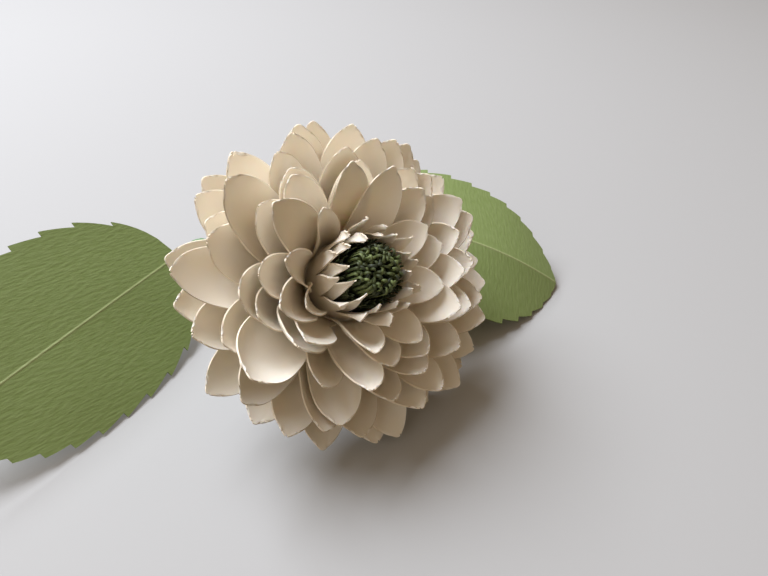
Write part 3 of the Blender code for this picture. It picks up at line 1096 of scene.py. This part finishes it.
@dataclass
class Collars:
    """The two collar strips, whose small petals stand round the fringe like a crown."""

    head: HeadFrame
    seat: float
    petals: int = 12
    paper: float = 0.35 * MM
    slot: float = 0.45 * MM  # between two petals
    tip: float = 0.2  # width of a tip as a share of the petal
    taper: float = 1.7  # above 1, a petal stays wide for longer
    tip_arc: float = 0.12  # how far the corners of a tip lie back, as a share of the petal
    cup: float = 0.8 * MM  # how far the sides of a tip stand out beyond its middle
    cup_inset: float = 0.3 * MM  # how far its middle stands in

    STRIPS = (
        Strip("inner", 9.35 * MM, 0.9 * MM, 26.2 * MM, 9.5 * MM, 0.0, -0.6),
        Strip("outer", 10.15 * MM, 1.5 * MM, 24.8 * MM, 8.5 * MM, 15.0, 0.5),
    )
    SEED = 300  # of the first strip
    BAND_ROWS = 4
    FREE_ROWS = 16
    COLUMNS = (-1.0, -0.86, -0.6, -0.3, 0.0, 0.3, 0.6, 0.86, 1.0)
    LEAN_SPREAD = 0.6  # mm
    SWAY_SPREAD = 0.35  # mm
    CURL = (0.9, 0.6)  # mean and spread, in mm
    TWIST = (0.7, 0.5)  # mean and spread, in mm
    HEIGHTS = (0.95, 1.0)  # shares of the strip's height
    TEETH = (0.1, 0.7)  # shallowest and deepest, in mm
    SLOT_OPENS = 8  # a slot has its full width an eighth of the way up
    LEAN_POWER = 1.5  # above 1, a petal leans and sways more the higher up it is
    CURL_START = 0.5  # shares of the way up, here and below
    TEETH_START = 0.8

    def build(self) -> list[bpy.types.Object]:
        """Builds both strips.

        Returns:
            The pieces.
        """
        return [self.strip(strip, self.SEED + i) for i, strip in enumerate(self.STRIPS)]

    def strip(self, strip: Strip, seed: int) -> bpy.types.Object:
        """One strip: its petals side by side, each with its part of the band.

        Args:
            strip: the strip's sizes.
            seed: the start of its random numbers.

        Returns:
            The piece.
        """
        dice = random.Random(seed)
        maker = MeshMaker.start("margin")
        for number in range(self.petals):
            maker.grid(self.petal(maker, strip, number, dice))
        return maker.piece(
            f"cream_collar_{strip.name}",
            (CREAM_CARD, CUT_EDGE),
            Slot.CREAM,
            f"collar_{strip.name}",
            self.paper,
        )

    def petal(self, maker: MeshMaker, strip: Strip, number: int, dice: random.Random) -> list:
        """The vertices of one small petal and its part of the band.

        Args:
            maker: what collects the strip.
            strip: the strip's sizes.
            number: the petal's number.
            dice: the strip's own source of random numbers.

        Returns:
            Rows of vertices from the band's foot up.
        """
        sector = math.pi / self.petals
        middle = math.radians(strip.turn) + 2 * sector * number
        lean = dice.gauss(strip.lean, self.LEAN_SPREAD) * MM
        sway = dice.gauss(0.0, self.SWAY_SPREAD) * MM
        curl = dice.gauss(*self.CURL) * MM
        twist = dice.gauss(*self.TWIST) * MM
        reach = strip.height * dice.uniform(*self.HEIGHTS) - strip.band
        columns = range(len(self.COLUMNS))
        teeth = [dice.uniform(*self.TEETH) * MM if c % 2 else 0.0 for c in columns]
        rows = []
        for step in range(self.BAND_ROWS):
            height = strip.band * step / self.BAND_ROWS
            radius = strip.radius + strip.flare * (height / strip.height) ** 2
            row = []
            for across in self.COLUMNS:
                spot = around(radius, middle - across * sector, self.seat + height)
                row.append(maker.vert(self.head.world(spot), margin=INSIDE))
            rows.append(row)
        for step in range(self.FREE_ROWS + 1):
            past = step / self.FREE_ROWS
            row = []
            for across, tooth in zip(self.COLUMNS, teeth):
                drop = self.tip_arc * across**2 * past**3
                nick = tooth * smooth(self.TEETH_START, 1.0, past)
                height = strip.band + reach * past * (1.0 - drop) - nick
                width = 1.0 - (1.0 - self.tip) * past**self.taper
                gap = self.slot / 2 / strip.radius * min(1.0, past * self.SLOT_OPENS)
                side = across * (sector * width - gap)
                radius = strip.radius + strip.flare * (height / strip.height) ** 2
                radius += lean * past**self.LEAN_POWER - curl * smooth(self.CURL_START, 1.0, past)
                radius += (self.cup * across**2 + twist * across - self.cup_inset) * past
                angle = middle - side + sway * past**self.LEAN_POWER / radius
                spot = around(radius, angle, self.seat + height)
                inset = min((1.0 - abs(across)) * sector * radius, (1.0 - past) * reach) / MM
                row.append(maker.vert(self.head.world(spot), margin=inset if step else INSIDE))
            rows.append(row)
        return rows


@dataclass
class FringeCentre:
    """The two rolls of cut fringe: a dome of curled strands in a ring of fine straight ones."""

    head: HeadFrame
    seat: float
    bore: float = 1.2 * MM
    dome_radius: float = 6.6 * MM
    dome_height: float = 27.2 * MM
    dome_crown: float = 3.0 * MM  # from the dome's top down to where its side starts
    dome_inset: float = 0.4 * MM  # from its radius in to its uncut part
    strand_inset: float = 0.5 * MM  # from its radius in to the outermost strands
    strand_width: float = 0.7 * MM
    strand_paper: float = 0.34 * MM
    strand_root: float = 1.0 * MM  # how deep in the uncut part a strand starts
    crest_inset: float = 0.1 * MM  # how far inwards it leans before it curls
    uncut: float = 19.0 * MM
    ring_inner: float = 6.9 * MM
    ring_radius: float = 8.6 * MM
    ring_height: float = 20.5 * MM
    ring_uncut: float = 14.0 * MM
    fine_width: float = 0.55 * MM
    fine_paper: float = 0.3 * MM
    fine_root: float = 0.5 * MM
    turn_pitch: float = 0.7 * MM  # from one turn of a roll to the next
    turn_depth: float = 0.5 * MM  # how deep the gaps between the turns are

    DOME_SEED = 41
    RING_SEED = 42
    ROLL_SIDES = 48
    SECTION = 8
    TAPER = 0.35  # share of its width that a strand loses towards its end
    TAPER_START = 0.7
    DOME_RINGS = 6
    DOME_REACH = 0.92  # share of the radius that the rings divide among them
    DOME_SPACING = 1.7  # widths from one strand to the next
    DOME_JITTER = (-0.2, 0.2)  # shares of that spacing
    LEAST_STRANDS = 4  # in a ring
    BENDS = (0.45, 0.95)  # mm, radius of a curl
    LEAN_SPREAD = 28.0  # degrees that a curl turns aside
    LEAN_GROWTH = 10.0  # degrees more for each ring further in
    OVERS = (110.0, 215.0)  # degrees that a strand curls over
    DROPS = (0.0, 3.2)  # mm that a strand is shorter
    HOLLOW = 1.2 * MM  # how far the middle of the dome lies lower
    HOLLOW_RING = 3  # last ring that isn't lower
    DOME_TONES = (0.0, 1.5)
    # painted shade: the uncut part of each roll, down under its strands, is drawn in nearly the
    # darkest green
    ROLL_PAINTED_SHADE = (0.1, 0.0)  # of the dome's uncut part and the ring's
    STRAIGHT_STEPS = 4
    CURL_STEPS = 9
    FINE_RINGS = 3
    FINE_SPACING = 1.35
    FINE_JITTER = (-0.3, 0.3)
    FINE_DROPS = (0.0, 2.2)
    FINE_SPLAY = (0.1, 0.25)  # mm outwards, mean and spread
    FINE_SWAY = 0.5  # mm sideways
    FINE_TONES = (0.0, 0.45)
    FINE_STEPS = 6

    def build(self) -> list[bpy.types.Object]:
        """Builds both rolls.

        Returns:
            The pieces.
        """
        return [self.dome(), self.ring()]

    def roll(self, maker: MeshMaker, inner: float, outer: float, top: float, tone: float) -> None:
        """The uncut part of a roll, with the edges of its turns on top.

        Args:
            maker: what collects the piece.
            inner: radius of its bore.
            outer: its radius.
            top: height of its top above the seat.
            tone: how light its paper is drawn; for the rolls this is painted shade under the
                strands.
        """
        turns = max(2, round((outer - inner) / self.turn_pitch))
        profile = [(inner, 0.0), (outer, 0.0), (outer, top)]
        for turn in range(turns * 2 - 1, 0, -1):
            radius = inner + (outer - inner) * turn / (turns * 2)
            profile.append((radius, top - (self.turn_depth if turn % 2 else 0.0)))
        profile += [(inner, top), (inner, 0.0)]
        rows = []
        for radius, height in profile:
            row = []
            for side in range(self.ROLL_SIDES):
                spot = around(radius, 2 * math.pi * side / self.ROLL_SIDES, self.seat + height)
                row.append(maker.vert(self.head.world(spot), tone=tone))
            rows.append(row)
        maker.grid(rows, closed=True)

    @staticmethod
    def spoke(turn: float) -> tuple[Vector, Vector]:
        """The directions outwards and sideways at an angle round the axis."""
        out = around(1.0, turn, 0.0)
        return out, Vector((-out.y, out.x, 0.0))

    def strand(
        self,
        maker: MeshMaker,
        path: list[Vector],
        wide: Vector,
        width: float,
        paper: float,
        tone: float,
    ) -> None:
        """One strip of fringe along a path in the head's frame.

        Args:
            maker: what collects the piece.
            path: the points it follows.
            wide: the direction of its width.
            width: how wide it is.
            paper: how thick it is.
            tone: how light its paper is.
        """
        placed = [self.head.world(spot) for spot in path]
        across = self.head.world(wide) - self.head.origin
        angles = [2 * math.pi * i / self.SECTION for i in range(self.SECTION)]
        girth = []
        for index in range(len(path)):
            taper = 1.0 - self.TAPER * smooth(self.TAPER_START, 1.0, index / (len(path) - 1))
            girth.append([(angle, width / 2 * taper, paper / 2) for angle in angles])
        maker.sweep(placed, [across] * len(placed), girth, tone)

    def dome(self) -> bpy.types.Object:
        """The inner roll, whose strands curl over one another.

        Returns:
            The piece.
        """
        dice = random.Random(self.DOME_SEED)
        maker = MeshMaker.start("tone")
        outer = self.dome_radius - self.dome_inset
        # painted shade: the dome's uncut part, under its strands, is drawn in nearly the darkest
        # green
        self.roll(maker, self.bore, outer, self.uncut, self.ROLL_PAINTED_SHADE[0])
        straight = range(self.STRAIGHT_STEPS + 1)
        for ring in range(self.DOME_RINGS):
            inwards = ring / self.DOME_RINGS * self.DOME_REACH
            radius = (self.dome_radius - self.strand_inset) * (1.0 - inwards)
            pitch = self.strand_width * self.DOME_SPACING
            count = max(self.LEAST_STRANDS, round(2 * math.pi * radius / pitch))
            dome = math.sqrt(max(0.0, 1.0 - (radius / self.dome_radius) ** 2))
            top = self.dome_height - self.dome_crown * (1.0 - dome)
            hollow = self.HOLLOW * (ring > self.HOLLOW_RING)
            for number in range(count):
                turn = 2 * math.pi * (number + dice.uniform(*self.DOME_JITTER)) / count
                out, side = self.spoke(turn)
                bend = dice.uniform(*self.BENDS) * MM
                spread = self.LEAN_SPREAD + self.LEAN_GROWTH * ring
                lean = math.radians(dice.gauss(0.0, spread))
                towards = -out * math.cos(lean) + side * math.sin(lean)
                over = math.radians(dice.uniform(*self.OVERS))
                height = top - bend - dice.uniform(*self.DROPS) * MM - hollow
                foot = out * radius + UP * (self.seat + self.uncut - self.strand_root)
                crest = out * (radius - self.crest_inset) + UP * (self.seat + height)
                path = [foot.lerp(crest, part / self.STRAIGHT_STEPS) for part in straight]
                for step in range(1, self.CURL_STEPS + 1):
                    swept = over * step / self.CURL_STEPS
                    hook = towards * bend * (1.0 - math.cos(swept))
                    path.append(crest + hook + UP * (bend * math.sin(swept)))
                wide = (side * math.cos(lean) + out * math.sin(lean)).normalized()
                tone = dice.uniform(*self.DOME_TONES)
                self.strand(maker, path, wide, self.strand_width, self.strand_paper, tone)
        return maker.piece("fringe_dome_curled", (FRINGE_PAPER,), Slot.FRINGE, "fringe_dome")

    def ring(self) -> bpy.types.Object:
        """The outer roll, whose finer strands stand nearly straight.

        Returns:
            The piece.
        """
        dice = random.Random(self.RING_SEED)
        maker = MeshMaker.start("tone")
        # painted shade: the ring's uncut part, under its strands, is drawn in the darkest tone
        tone = self.ROLL_PAINTED_SHADE[1]
        self.roll(maker, self.ring_inner, self.ring_radius, self.ring_uncut, tone)
        parts = [step / self.FINE_STEPS for step in range(self.FINE_STEPS + 1)]
        width = self.ring_radius - self.ring_inner
        for ring in range(self.FINE_RINGS):
            radius = self.ring_inner + width * (ring + 0.5) / self.FINE_RINGS
            count = round(2 * math.pi * radius / (self.fine_width * self.FINE_SPACING))
            for number in range(count):
                turn = 2 * math.pi * (number + dice.uniform(*self.FINE_JITTER)) / count
                out, side = self.spoke(turn)
                height = self.ring_height - dice.uniform(*self.FINE_DROPS) * MM
                foot = out * radius + UP * (self.seat + self.ring_uncut - self.fine_root)
                splay = out * dice.gauss(*self.FINE_SPLAY) * MM
                splay += side * dice.gauss(0.0, self.FINE_SWAY) * MM
                rise = UP * (height - self.ring_uncut)
                path = [foot + rise * part + splay * part**2 for part in parts]
                tone = dice.uniform(*self.FINE_TONES)
                self.strand(maker, path, side, self.fine_width, self.fine_paper, tone)
        return maker.piece("fringe_ring_fine", (FRINGE_PAPER,), Slot.FRINGE, "fringe_ring")


@dataclass(frozen=True)
class Winding:
    """Floral tape wound round a wire: a tube with a low step that climbs round it."""

    lap: float = 5.5 * MM  # from one turn of the tape to the next
    step: float = 0.16 * MM  # how far a turn stands above the one before it
    wrinkle: float = 0.05 * MM
    wrinkle_pitch: float = 0.9  # how far on in the noise each side of the tube is
    wrinkle_slice: float = 3.0  # where the noise is cut
    tone: float = 0.9

    def wind(self, maker: MeshMaker, path: list[Vector], radii: list[float], sides: int) -> None:
        """Adds a taped wire.

        Args:
            maker: what collects the piece.
            path: closely spaced points of its middle line.
            radii: its radius at each point.
            sides: how many sides it has.
        """
        travelled = 0.0
        wide = (path[1] - path[0]).orthogonal().normalized()
        widths, girth = [], []
        for index, spot in enumerate(path):
            if index:
                travelled += (spot - path[index - 1]).length
                ahead = (path[min(index + 1, len(path) - 1)] - path[index - 1]).normalized()
                wide = (wide - ahead * wide.dot(ahead)).normalized()
            widths.append(wide.copy())
            ring = []
            for side in range(sides):
                lift = (travelled / self.lap + side / sides) % 1.0
                place = (travelled / MM, side * self.wrinkle_pitch, self.wrinkle_slice)
                wrinkle = self.wrinkle * noise.noise(Vector(place))
                radius = radii[index] - self.step * (1.0 - lift) + wrinkle
                ring.append((2 * math.pi * side / sides, radius, radius))
            girth.append(ring)
        maker.sweep(path, widths, girth, self.tone)


def smooth_path(points: list[Vector], steps: int) -> list[Vector]:
    """Points of a smooth curve through the given ones.

    Args:
        points: the points that it passes.
        steps: how many lengths there are between two of them.

    Returns:
        The curve's points.
    """
    padded = [points[0] * 2 - points[1], *points, points[-1] * 2 - points[-2]]
    path = []
    for before, start, end, after in zip(padded, padded[1:], padded[2:], padded[3:]):
        for step in range(steps):
            part = step / steps
            lead = start * 2 + (end - before) * part
            turn = (before * 2 - start * 5 + end * 4 - after) * part**2
            close = (start * 3 - before - end * 3 + after) * part**3
            path.append((lead + turn + close) / 2)
    path.append(points[-1])
    return path


@dataclass
class TapedStem:
    """The stem: steel wire in floral tape that thickens under the lowest hub."""

    head: HeadFrame
    winding: Winding = Winding()
    tape_radius: float = STEM_RADIUS
    neck_radius: float = 3.4 * MM
    neck_length: float = 5.0 * MM
    neck_fade: float = 1.4  # the neck ends this many times its length down
    gap: float = 0.3 * MM  # between the lowest hub and the tape
    pitch: float = 0.4 * MM
    sides: int = 24

    def build(self, nodes: dict) -> bpy.types.Object:
        """Winds the tape and gives the wire's node its metal.

        Args:
            nodes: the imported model's nodes.

        Returns:
            The tape.
        """
        length = self.head.down_the_stem(nodes["stem_tape"])
        count = round((length - self.gap) / self.pitch)
        depths = [self.gap + (length - self.gap) * i / count for i in range(count + 1)]
        path = [self.head.world(Vector((0, 0, -depth))) for depth in depths]
        radii = []
        for depth in depths:
            neck = 1.0 - smooth(0.0, self.neck_length * self.neck_fade, depth)
            radii.append(self.tape_radius + (self.neck_radius - self.tape_radius) * neck)
        maker = MeshMaker.start("tone")
        self.winding.wind(maker, path, radii, self.sides)
        nodes["stem_wire"].material_slots[0].material = WIRE_STEEL.material()
        LOG.info("stem_wire: kept, in %s", WIRE_STEEL.name)
        return maker.piece("stem_tape_wound", (FLORAL_TAPE,), Slot.TAPE, "stem_tape")


@dataclass(frozen=True)
class LeafPlace:
    """Where a leaf starts, where it points and looks, and how its stalk gets there."""

    name: str
    base: Vector  # from the head's origin
    along: Vector
    face: Vector
    arch: float  # how far the middle stands above the line from base to tip
    fold: float  # how far the widest edges lie below the scored midrib
    stalk: tuple  # points between the stem and the leaf
    rib_turn: float  # degrees between the card's ribs and the midrib


@dataclass
class Leaf:
    """A serrated leaf with a scored midrib, on a taped stalk of its own."""

    head: HeadFrame
    place: LeafPlace
    winding: Winding = Winding()
    length: float = 84.0 * MM
    width: float = 57.0 * MM
    widest: float = 0.46  # share of the length
    card: float = 0.45 * MM
    teeth: int = 12
    tooth: float = 1.7 * MM
    tooth_room: float = 9.0 * MM  # a blade whose half is narrower has smaller teeth
    crowding: float = 1.5  # above 1, teeth are closer near the tip
    narrowest: float = 0.1 * MM  # half the width at the tip
    foot: float = 1.5 * MM  # least half width at the base, on top of that
    stalk_radius: float = 1.3 * MM
    stalk_sides: int = 20
    stalk_steps: int = 24
    binding: float = 0.55 * MM  # between the stem and the stalk beside it
    joint: float = 19.0 * MM  # how far down the stem the stalk leaves it
    run: float = 6.0 * MM  # how far the stalk lies along the stem
    under: float = 0.10  # share of the leaf that the stalk is glued under
    touch: float = 0.30 * MM  # between the stalk and the card
    wave: float = 0.5 * MM
    wave_length: float = 26.0 * MM

    BASE_CURVE = 2.2  # 2 would be an ellipse, and more is fuller
    TIP_CURVE = 2.6  # the larger, the fuller
    TIP_POINT = 0.7  # the larger, the more pointed
    END = 0.9995  # last share of the length whose width is worked out from the outline
    WAVE_GROWTH = 4  # the wave is full a quarter of the way along
    STEPS = (0.0, 0.14, 0.3, 0.46, 0.62, 0.78, 0.9, 0.985)  # rows of a tooth, from its notch
    SCORE = (0.0, 0.14, 0.32, 0.6)  # mm from the middle of the midrib
    RIDGE = (0.1, 0.07, 0.0, 0.0)  # mm that the midrib stands up there
    SCORE_ROOM = 2.5 * MM  # a blade whose half is narrower has a narrower midrib
    # Columns between the midrib and the edge, as shares of the way.
    SPREAD = (0.08, 0.16, 0.26, 0.36, 0.46, 0.56, 0.66, 0.76, 0.85, 0.92, 0.97, 1.0)

    def directions(self) -> tuple[Vector, Vector, Vector]:
        """The leaf's own directions.

        Returns:
            Along the leaf, across it and out of its face.
        """
        along = self.place.along.normalized()
        across = self.place.face.cross(along).normalized()
        return along, across, along.cross(across)

    def middle(self, share: float) -> Vector:
        """A point of the midrib.

        Args:
            share: 0 at the base, 1 at the tip.

        Returns:
            The point, measured from the head's origin.
        """
        along, _, face = self.directions()
        arch = self.place.arch * 4 * share * (1.0 - share)
        return self.place.base + along * self.length * share + face * arch

    def normal(self, share: float) -> Vector:
        """The direction out of the face at a point of the midrib.

        Args:
            share: 0 at the base, 1 at the tip.

        Returns:
            The direction.
        """
        along, _, face = self.directions()
        slope = self.place.arch * 4 * (1.0 - 2 * share) / self.length
        return (face - along * slope).normalized()

    def half_width(self, share: float) -> float:
        """Half the width of the blade, without its teeth.

        Args:
            share: 0 at the base, 1 at the tip.

        Returns:
            The distance from the midrib to the edge.
        """
        if share < self.widest:
            below = 1.0 - share / self.widest
            return 0.5 * self.width * math.sqrt(1.0 - below**self.BASE_CURVE)
        past = (share - self.widest) / (1.0 - self.widest)
        return 0.5 * self.width * (1.0 - past**self.TIP_CURVE) ** self.TIP_POINT

    def tooth_share(self, part: float) -> float:
        """The share of the length at a part of the row of teeth."""
        return 1.0 - (1.0 - part) ** self.crowding

    def build(self, floor: float) -> list[bpy.types.Object]:
        """Builds the blade and its stalk, and lays the blade on the table.

        Args:
            floor: the height of the lowest point of the leaf's node.

        Returns:
            The pieces.
        """
        lowest = min(spot.z for row in self.rows() for spot, _, _ in row)
        shift = Vector((0, 0, floor + self.card / 2 - lowest - self.head.origin.z))
        self.place = replace(self.place, base=self.place.base + shift)
        return [self.blade(), self.stalk()]

    def rows(self) -> list[list[tuple[Vector, float, Vector]]]:
        """The blade as rows of points, with how scored and where on the card each one is.

        Returns:
            Rows from the base to the tip, measured from the head's origin.
        """
        _, across, face = self.directions()
        shares = []
        for number in range(self.teeth):
            for step in self.STEPS:
                shares.append((self.tooth_share((number + step) / self.teeth), step, number))
        shares.append((1.0, 1.0, self.teeth))
        turn = Matrix.Rotation(math.radians(self.place.rib_turn), 3, "Z")
        start = UP * (self.place.arch / MM)  # where in the noise the leaf's waves start
        last = len(self.SCORE) - 1
        rows = []
        for share, step, number in shares:
            half = self.half_width(min(share, self.END))
            depth = self.tooth * (1.0 - step) * (number > 0)  # no notch at the base
            half -= depth * min(1.0, half / self.tooth_room)
            half = max(half, self.foot * (1.0 - share) + self.narrowest)
            squeeze = min(1.0, half / self.SCORE_ROOM)
            spots = []
            for column, (aside, height) in enumerate(zip(self.SCORE, self.RIDGE)):
                spots.append((aside * MM * squeeze, height * MM, 1.0 - column / last))
            inner = self.SCORE[-1] * MM * squeeze
            spots += [(inner + (half - inner) * part, 0.0, 0.0) for part in self.SPREAD]
            both = [(-x, height, score) for x, height, score in reversed(spots[1:])] + spots
            row = []
            for side, ridge, score in both:
                fold = -self.place.fold * abs(side) * 2 / self.width
                card = Vector((share * self.length, side, 0.0))
                ripple = noise.noise(card / self.wave_length + start)
                lift = fold + ridge + self.wave * ripple * min(1.0, share * self.WAVE_GROWTH)
                spot = self.middle(share) + across * side + face * lift
                row.append((spot, score, turn @ card / MM))
            rows.append(row)
        return rows

    def blade(self) -> bpy.types.Object:
        """The leaf's blade.

        Returns:
            The piece.
        """
        maker = MeshMaker.start("score")
        card = maker.bm.verts.layers.float_vector.new("card")
        rows = []
        for row in self.rows():
            verts = []
            for spot, score, where in row:
                vert = maker.vert(self.head.origin + spot, score=score)
                vert[card] = where
                verts.append(vert)
            rows.append(verts)
        maker.grid(rows)
        return maker.piece(
            f"leaf_blade_{self.place.name}",
            (RIBBED_CARD,),
            Slot.LEAF,
            f"leaf_{self.place.name}",
            self.card,
        )

    def stalk(self) -> bpy.types.Object:
        """The stalk: along the stem, across to the leaf and along its underside.

        Returns:
            The piece.
        """
        axis = self.head.axis
        aside = self.place.base - axis * self.place.base.dot(axis)
        beside = aside.normalized() * (STEM_RADIUS + self.binding + self.stalk_radius)
        start = [beside - axis * down for down in (self.joint + self.run, self.joint)]
        depth = self.stalk_radius + self.card / 2 + self.touch
        shares = (-self.under / 2, 0.0, self.under / 2, self.under)
        end = [self.middle(share) - self.normal(share) * depth for share in shares]
        points = smooth_path(start + list(self.place.stalk) + end, self.stalk_steps)
        path = [self.head.origin + point for point in points]
        maker = MeshMaker.start("tone")
        self.winding.wind(maker, path, [self.stalk_radius] * len(path), self.stalk_sides)
        return maker.piece(
            f"leaf_stalk_{self.place.name}_wound",
            (FLORAL_TAPE,),
            Slot.TAPE,
            f"leaf_stalk_{self.place.name}",
        )


LEAVES = (
    LeafPlace(
        name="left",
        base=Vector((-54.0, 27.5, -9.4)) * MM,
        along=Vector((-0.505, -0.863, -0.024)),
        face=Vector((0.612, -0.378, 0.694)),
        arch=3.0 * MM,
        fold=0.2 * MM,
        stalk=(
            Vector((-22.0, 22.0, -20.0)) * MM,
            Vector((-35.0, 27.0, -17.0)) * MM,
            Vector((-46.0, 33.0, -9.0)) * MM,
        ),
        rib_turn=14.0,
    ),
    LeafPlace(
        name="right",
        base=Vector((-2.3, 36.7, -2.3)) * MM,
        along=Vector((0.938, -0.016, -0.347)),
        face=Vector((0.320, -0.349, 0.880)),
        arch=8.0 * MM,
        fold=3.4 * MM,
        stalk=(Vector((-11.5, 25.0, -12.0)) * MM,),
        rib_turn=80.0,
    ),
)


@dataclass(frozen=True)
class Lamp:
    """A square soft lamp that looks at the flower."""

    name: str
    direction: tuple  # from the flower to the lamp
    distance: float  # metres, as its size is
    size: float
    power: float  # watts
    tint: str


@dataclass
class Studio:
    """The pale table, the soft lamps and the camera."""

    head: HeadFrame
    table: str = "#A8A7A5"
    table_roughness: float = 0.8
    bounce: str = "#4E463C"  # the table's colour for the light that it throws up
    wall: str = "#D4D3D1"  # what the camera and reflections see past the table
    room: str = "#F3D3AA"  # the colour of the light from all round
    room_light: float = 0.32
    table_half: float = 3.0  # metres
    face_height: float = 7.0 * MM  # from the head's origin to what the camera is set from
    camera_offset: tuple = (11.5 * MM, -121.4 * MM, 99.6 * MM)  # from there to the camera
    camera_pitch: float = 50.0  # degrees up from straight down
    camera_near: float = 0.005  # metres
    lens: float = 27.05  # mm, as the sensor's width is
    sensor: float = 36.0

    LAMPS = (
        Lamp("key_window", (-0.56, 0.38, 1.0), 1.10, 0.75, 24.5, "#EEF4FF"),
        Lamp("fill_front", (-0.7, -0.8, 0.7), 0.80, 0.60, 1.0, "#FFFFFF"),
    )

    def build(self) -> None:
        """Sets up the whole studio."""
        self.floor()
        self.lamps()
        self.sky()
        self.camera()
        bpy.context.scene.view_settings.view_transform = "Standard"

    @staticmethod
    def seen(tree: bpy.types.NodeTree) -> bpy.types.NodeSocket:
        """What is 1 for the camera, reflections and glass, and 0 for the light that is thrown.

        Args:
            tree: the node tree that needs it.

        Returns:
            The socket that gives it.
        """
        rays = add_node(tree, "ShaderNodeLightPath", {})
        mirrored = add_node(
            tree,
            "ShaderNodeMath",
            {0: rays.outputs["Is Camera Ray"], 1: rays.outputs["Is Glossy Ray"]},
            operation="ADD",
        )
        every = add_node(
            tree,
            "ShaderNodeMath",
            {0: mirrored.outputs[0], 1: rays.outputs["Is Transmission Ray"]},
            operation="ADD",
            use_clamp=True,
        )
        return every.outputs[0]

    def floor(self) -> None:
        """The table: a matt board, pale to the camera and dimmer for the light it throws up."""
        half = self.table_half
        corners = [(-half, -half, 0.0), (half, -half, 0.0), (half, half, 0.0), (-half, half, 0.0)]
        mesh = bpy.data.meshes.new("table_top")
        mesh.from_pydata(corners, [], [(0, 1, 2, 3)])
        finish = bpy.data.materials.new("table_top_matt")
        finish.use_nodes = True
        tree = finish.node_tree
        shader = tree.nodes["Principled BSDF"]
        shader.inputs["Roughness"].default_value = self.table_roughness
        colour = add_node(
            tree,
            "ShaderNodeMix",
            {0: self.seen(tree), 6: linear(self.bounce), 7: linear(self.table)},
            data_type="RGBA",
        )
        tree.links.new(colour.outputs[2], shader.inputs["Base Color"])
        mesh.materials.append(finish)
        floor = bpy.data.objects.new("table_top", mesh)
        bpy.context.scene.collection.objects.link(floor)

    def lamps(self) -> None:
        """A large, faintly cool key from above the back left, and a weak fill from the front."""
        for lamp in self.LAMPS:
            data = bpy.data.lights.new(lamp.name, "AREA")
            data.shape = "SQUARE"
            data.size = lamp.size
            data.energy = lamp.power
            data.color = linear(lamp.tint)[:3]
            made = bpy.data.objects.new(lamp.name, data)
            way = Vector(lamp.direction).normalized()
            made.location = self.head.origin + way * lamp.distance
            made.rotation_euler = way.to_track_quat("Z", "Y").to_euler()
            bpy.context.scene.collection.objects.link(made)

    def sky(self) -> None:
        """The room: warm and dim as light, and a pale backdrop to the camera and reflections."""
        world = bpy.data.worlds.new("soft_sky")
        world.use_nodes = True
        tree = world.node_tree
        room = tree.nodes["Background"]
        room.inputs["Color"].default_value = linear(self.room)
        room.inputs["Strength"].default_value = self.room_light
        wall = add_node(
            tree, "ShaderNodeBackground", {"Color": linear(self.wall), "Strength": 1.0}
        )
        both = add_node(
            tree,
            "ShaderNodeMixShader",
            {0: self.seen(tree), 1: room.outputs[0], 2: wall.outputs[0]},
        )
        tree.links.new(both.outputs[0], tree.nodes["World Output"].inputs["Surface"])
        bpy.context.scene.world = world

    def camera(self) -> None:
        """The camera, where the photograph was taken from."""
        data = bpy.data.cameras.new("camera")
        data.lens = self.lens
        data.sensor_width = self.sensor
        data.clip_start = self.camera_near
        camera = bpy.data.objects.new("camera", data)
        face = self.head.origin + self.head.axis * self.face_height
        camera.location = face + Vector(self.camera_offset)
        camera.rotation_euler = (math.radians(self.camera_pitch), 0.0, 0.0)
        bpy.context.scene.collection.objects.link(camera)
        bpy.context.scene.camera = camera


def main() -> None:
    """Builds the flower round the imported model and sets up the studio."""
    logging.basicConfig(level=logging.INFO, format="%(name)s: %(message)s")
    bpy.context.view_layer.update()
    nodes = frame["nodes"]
    head = HeadFrame.from_wire(nodes["stem_wire"], HEAD_AXIS, WIRE_TOP)
    pieces = PetalHead(head).build()
    pieces += Collars(head, SEAT).build()
    pieces += FringeCentre(head, SEAT).build()
    pieces.append(TapedStem(head).build(nodes))
    for place in LEAVES:
        pieces += Leaf(head, place).build(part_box(f"leaf_{place.name}")[0].z)
    for piece in pieces:
        LOG.info("%s: %d faces", piece.name, len(piece.data.polygons))
    Studio(head).build()
    bpy.context.view_layer.update()


if __name__ == "__main__":
    main()
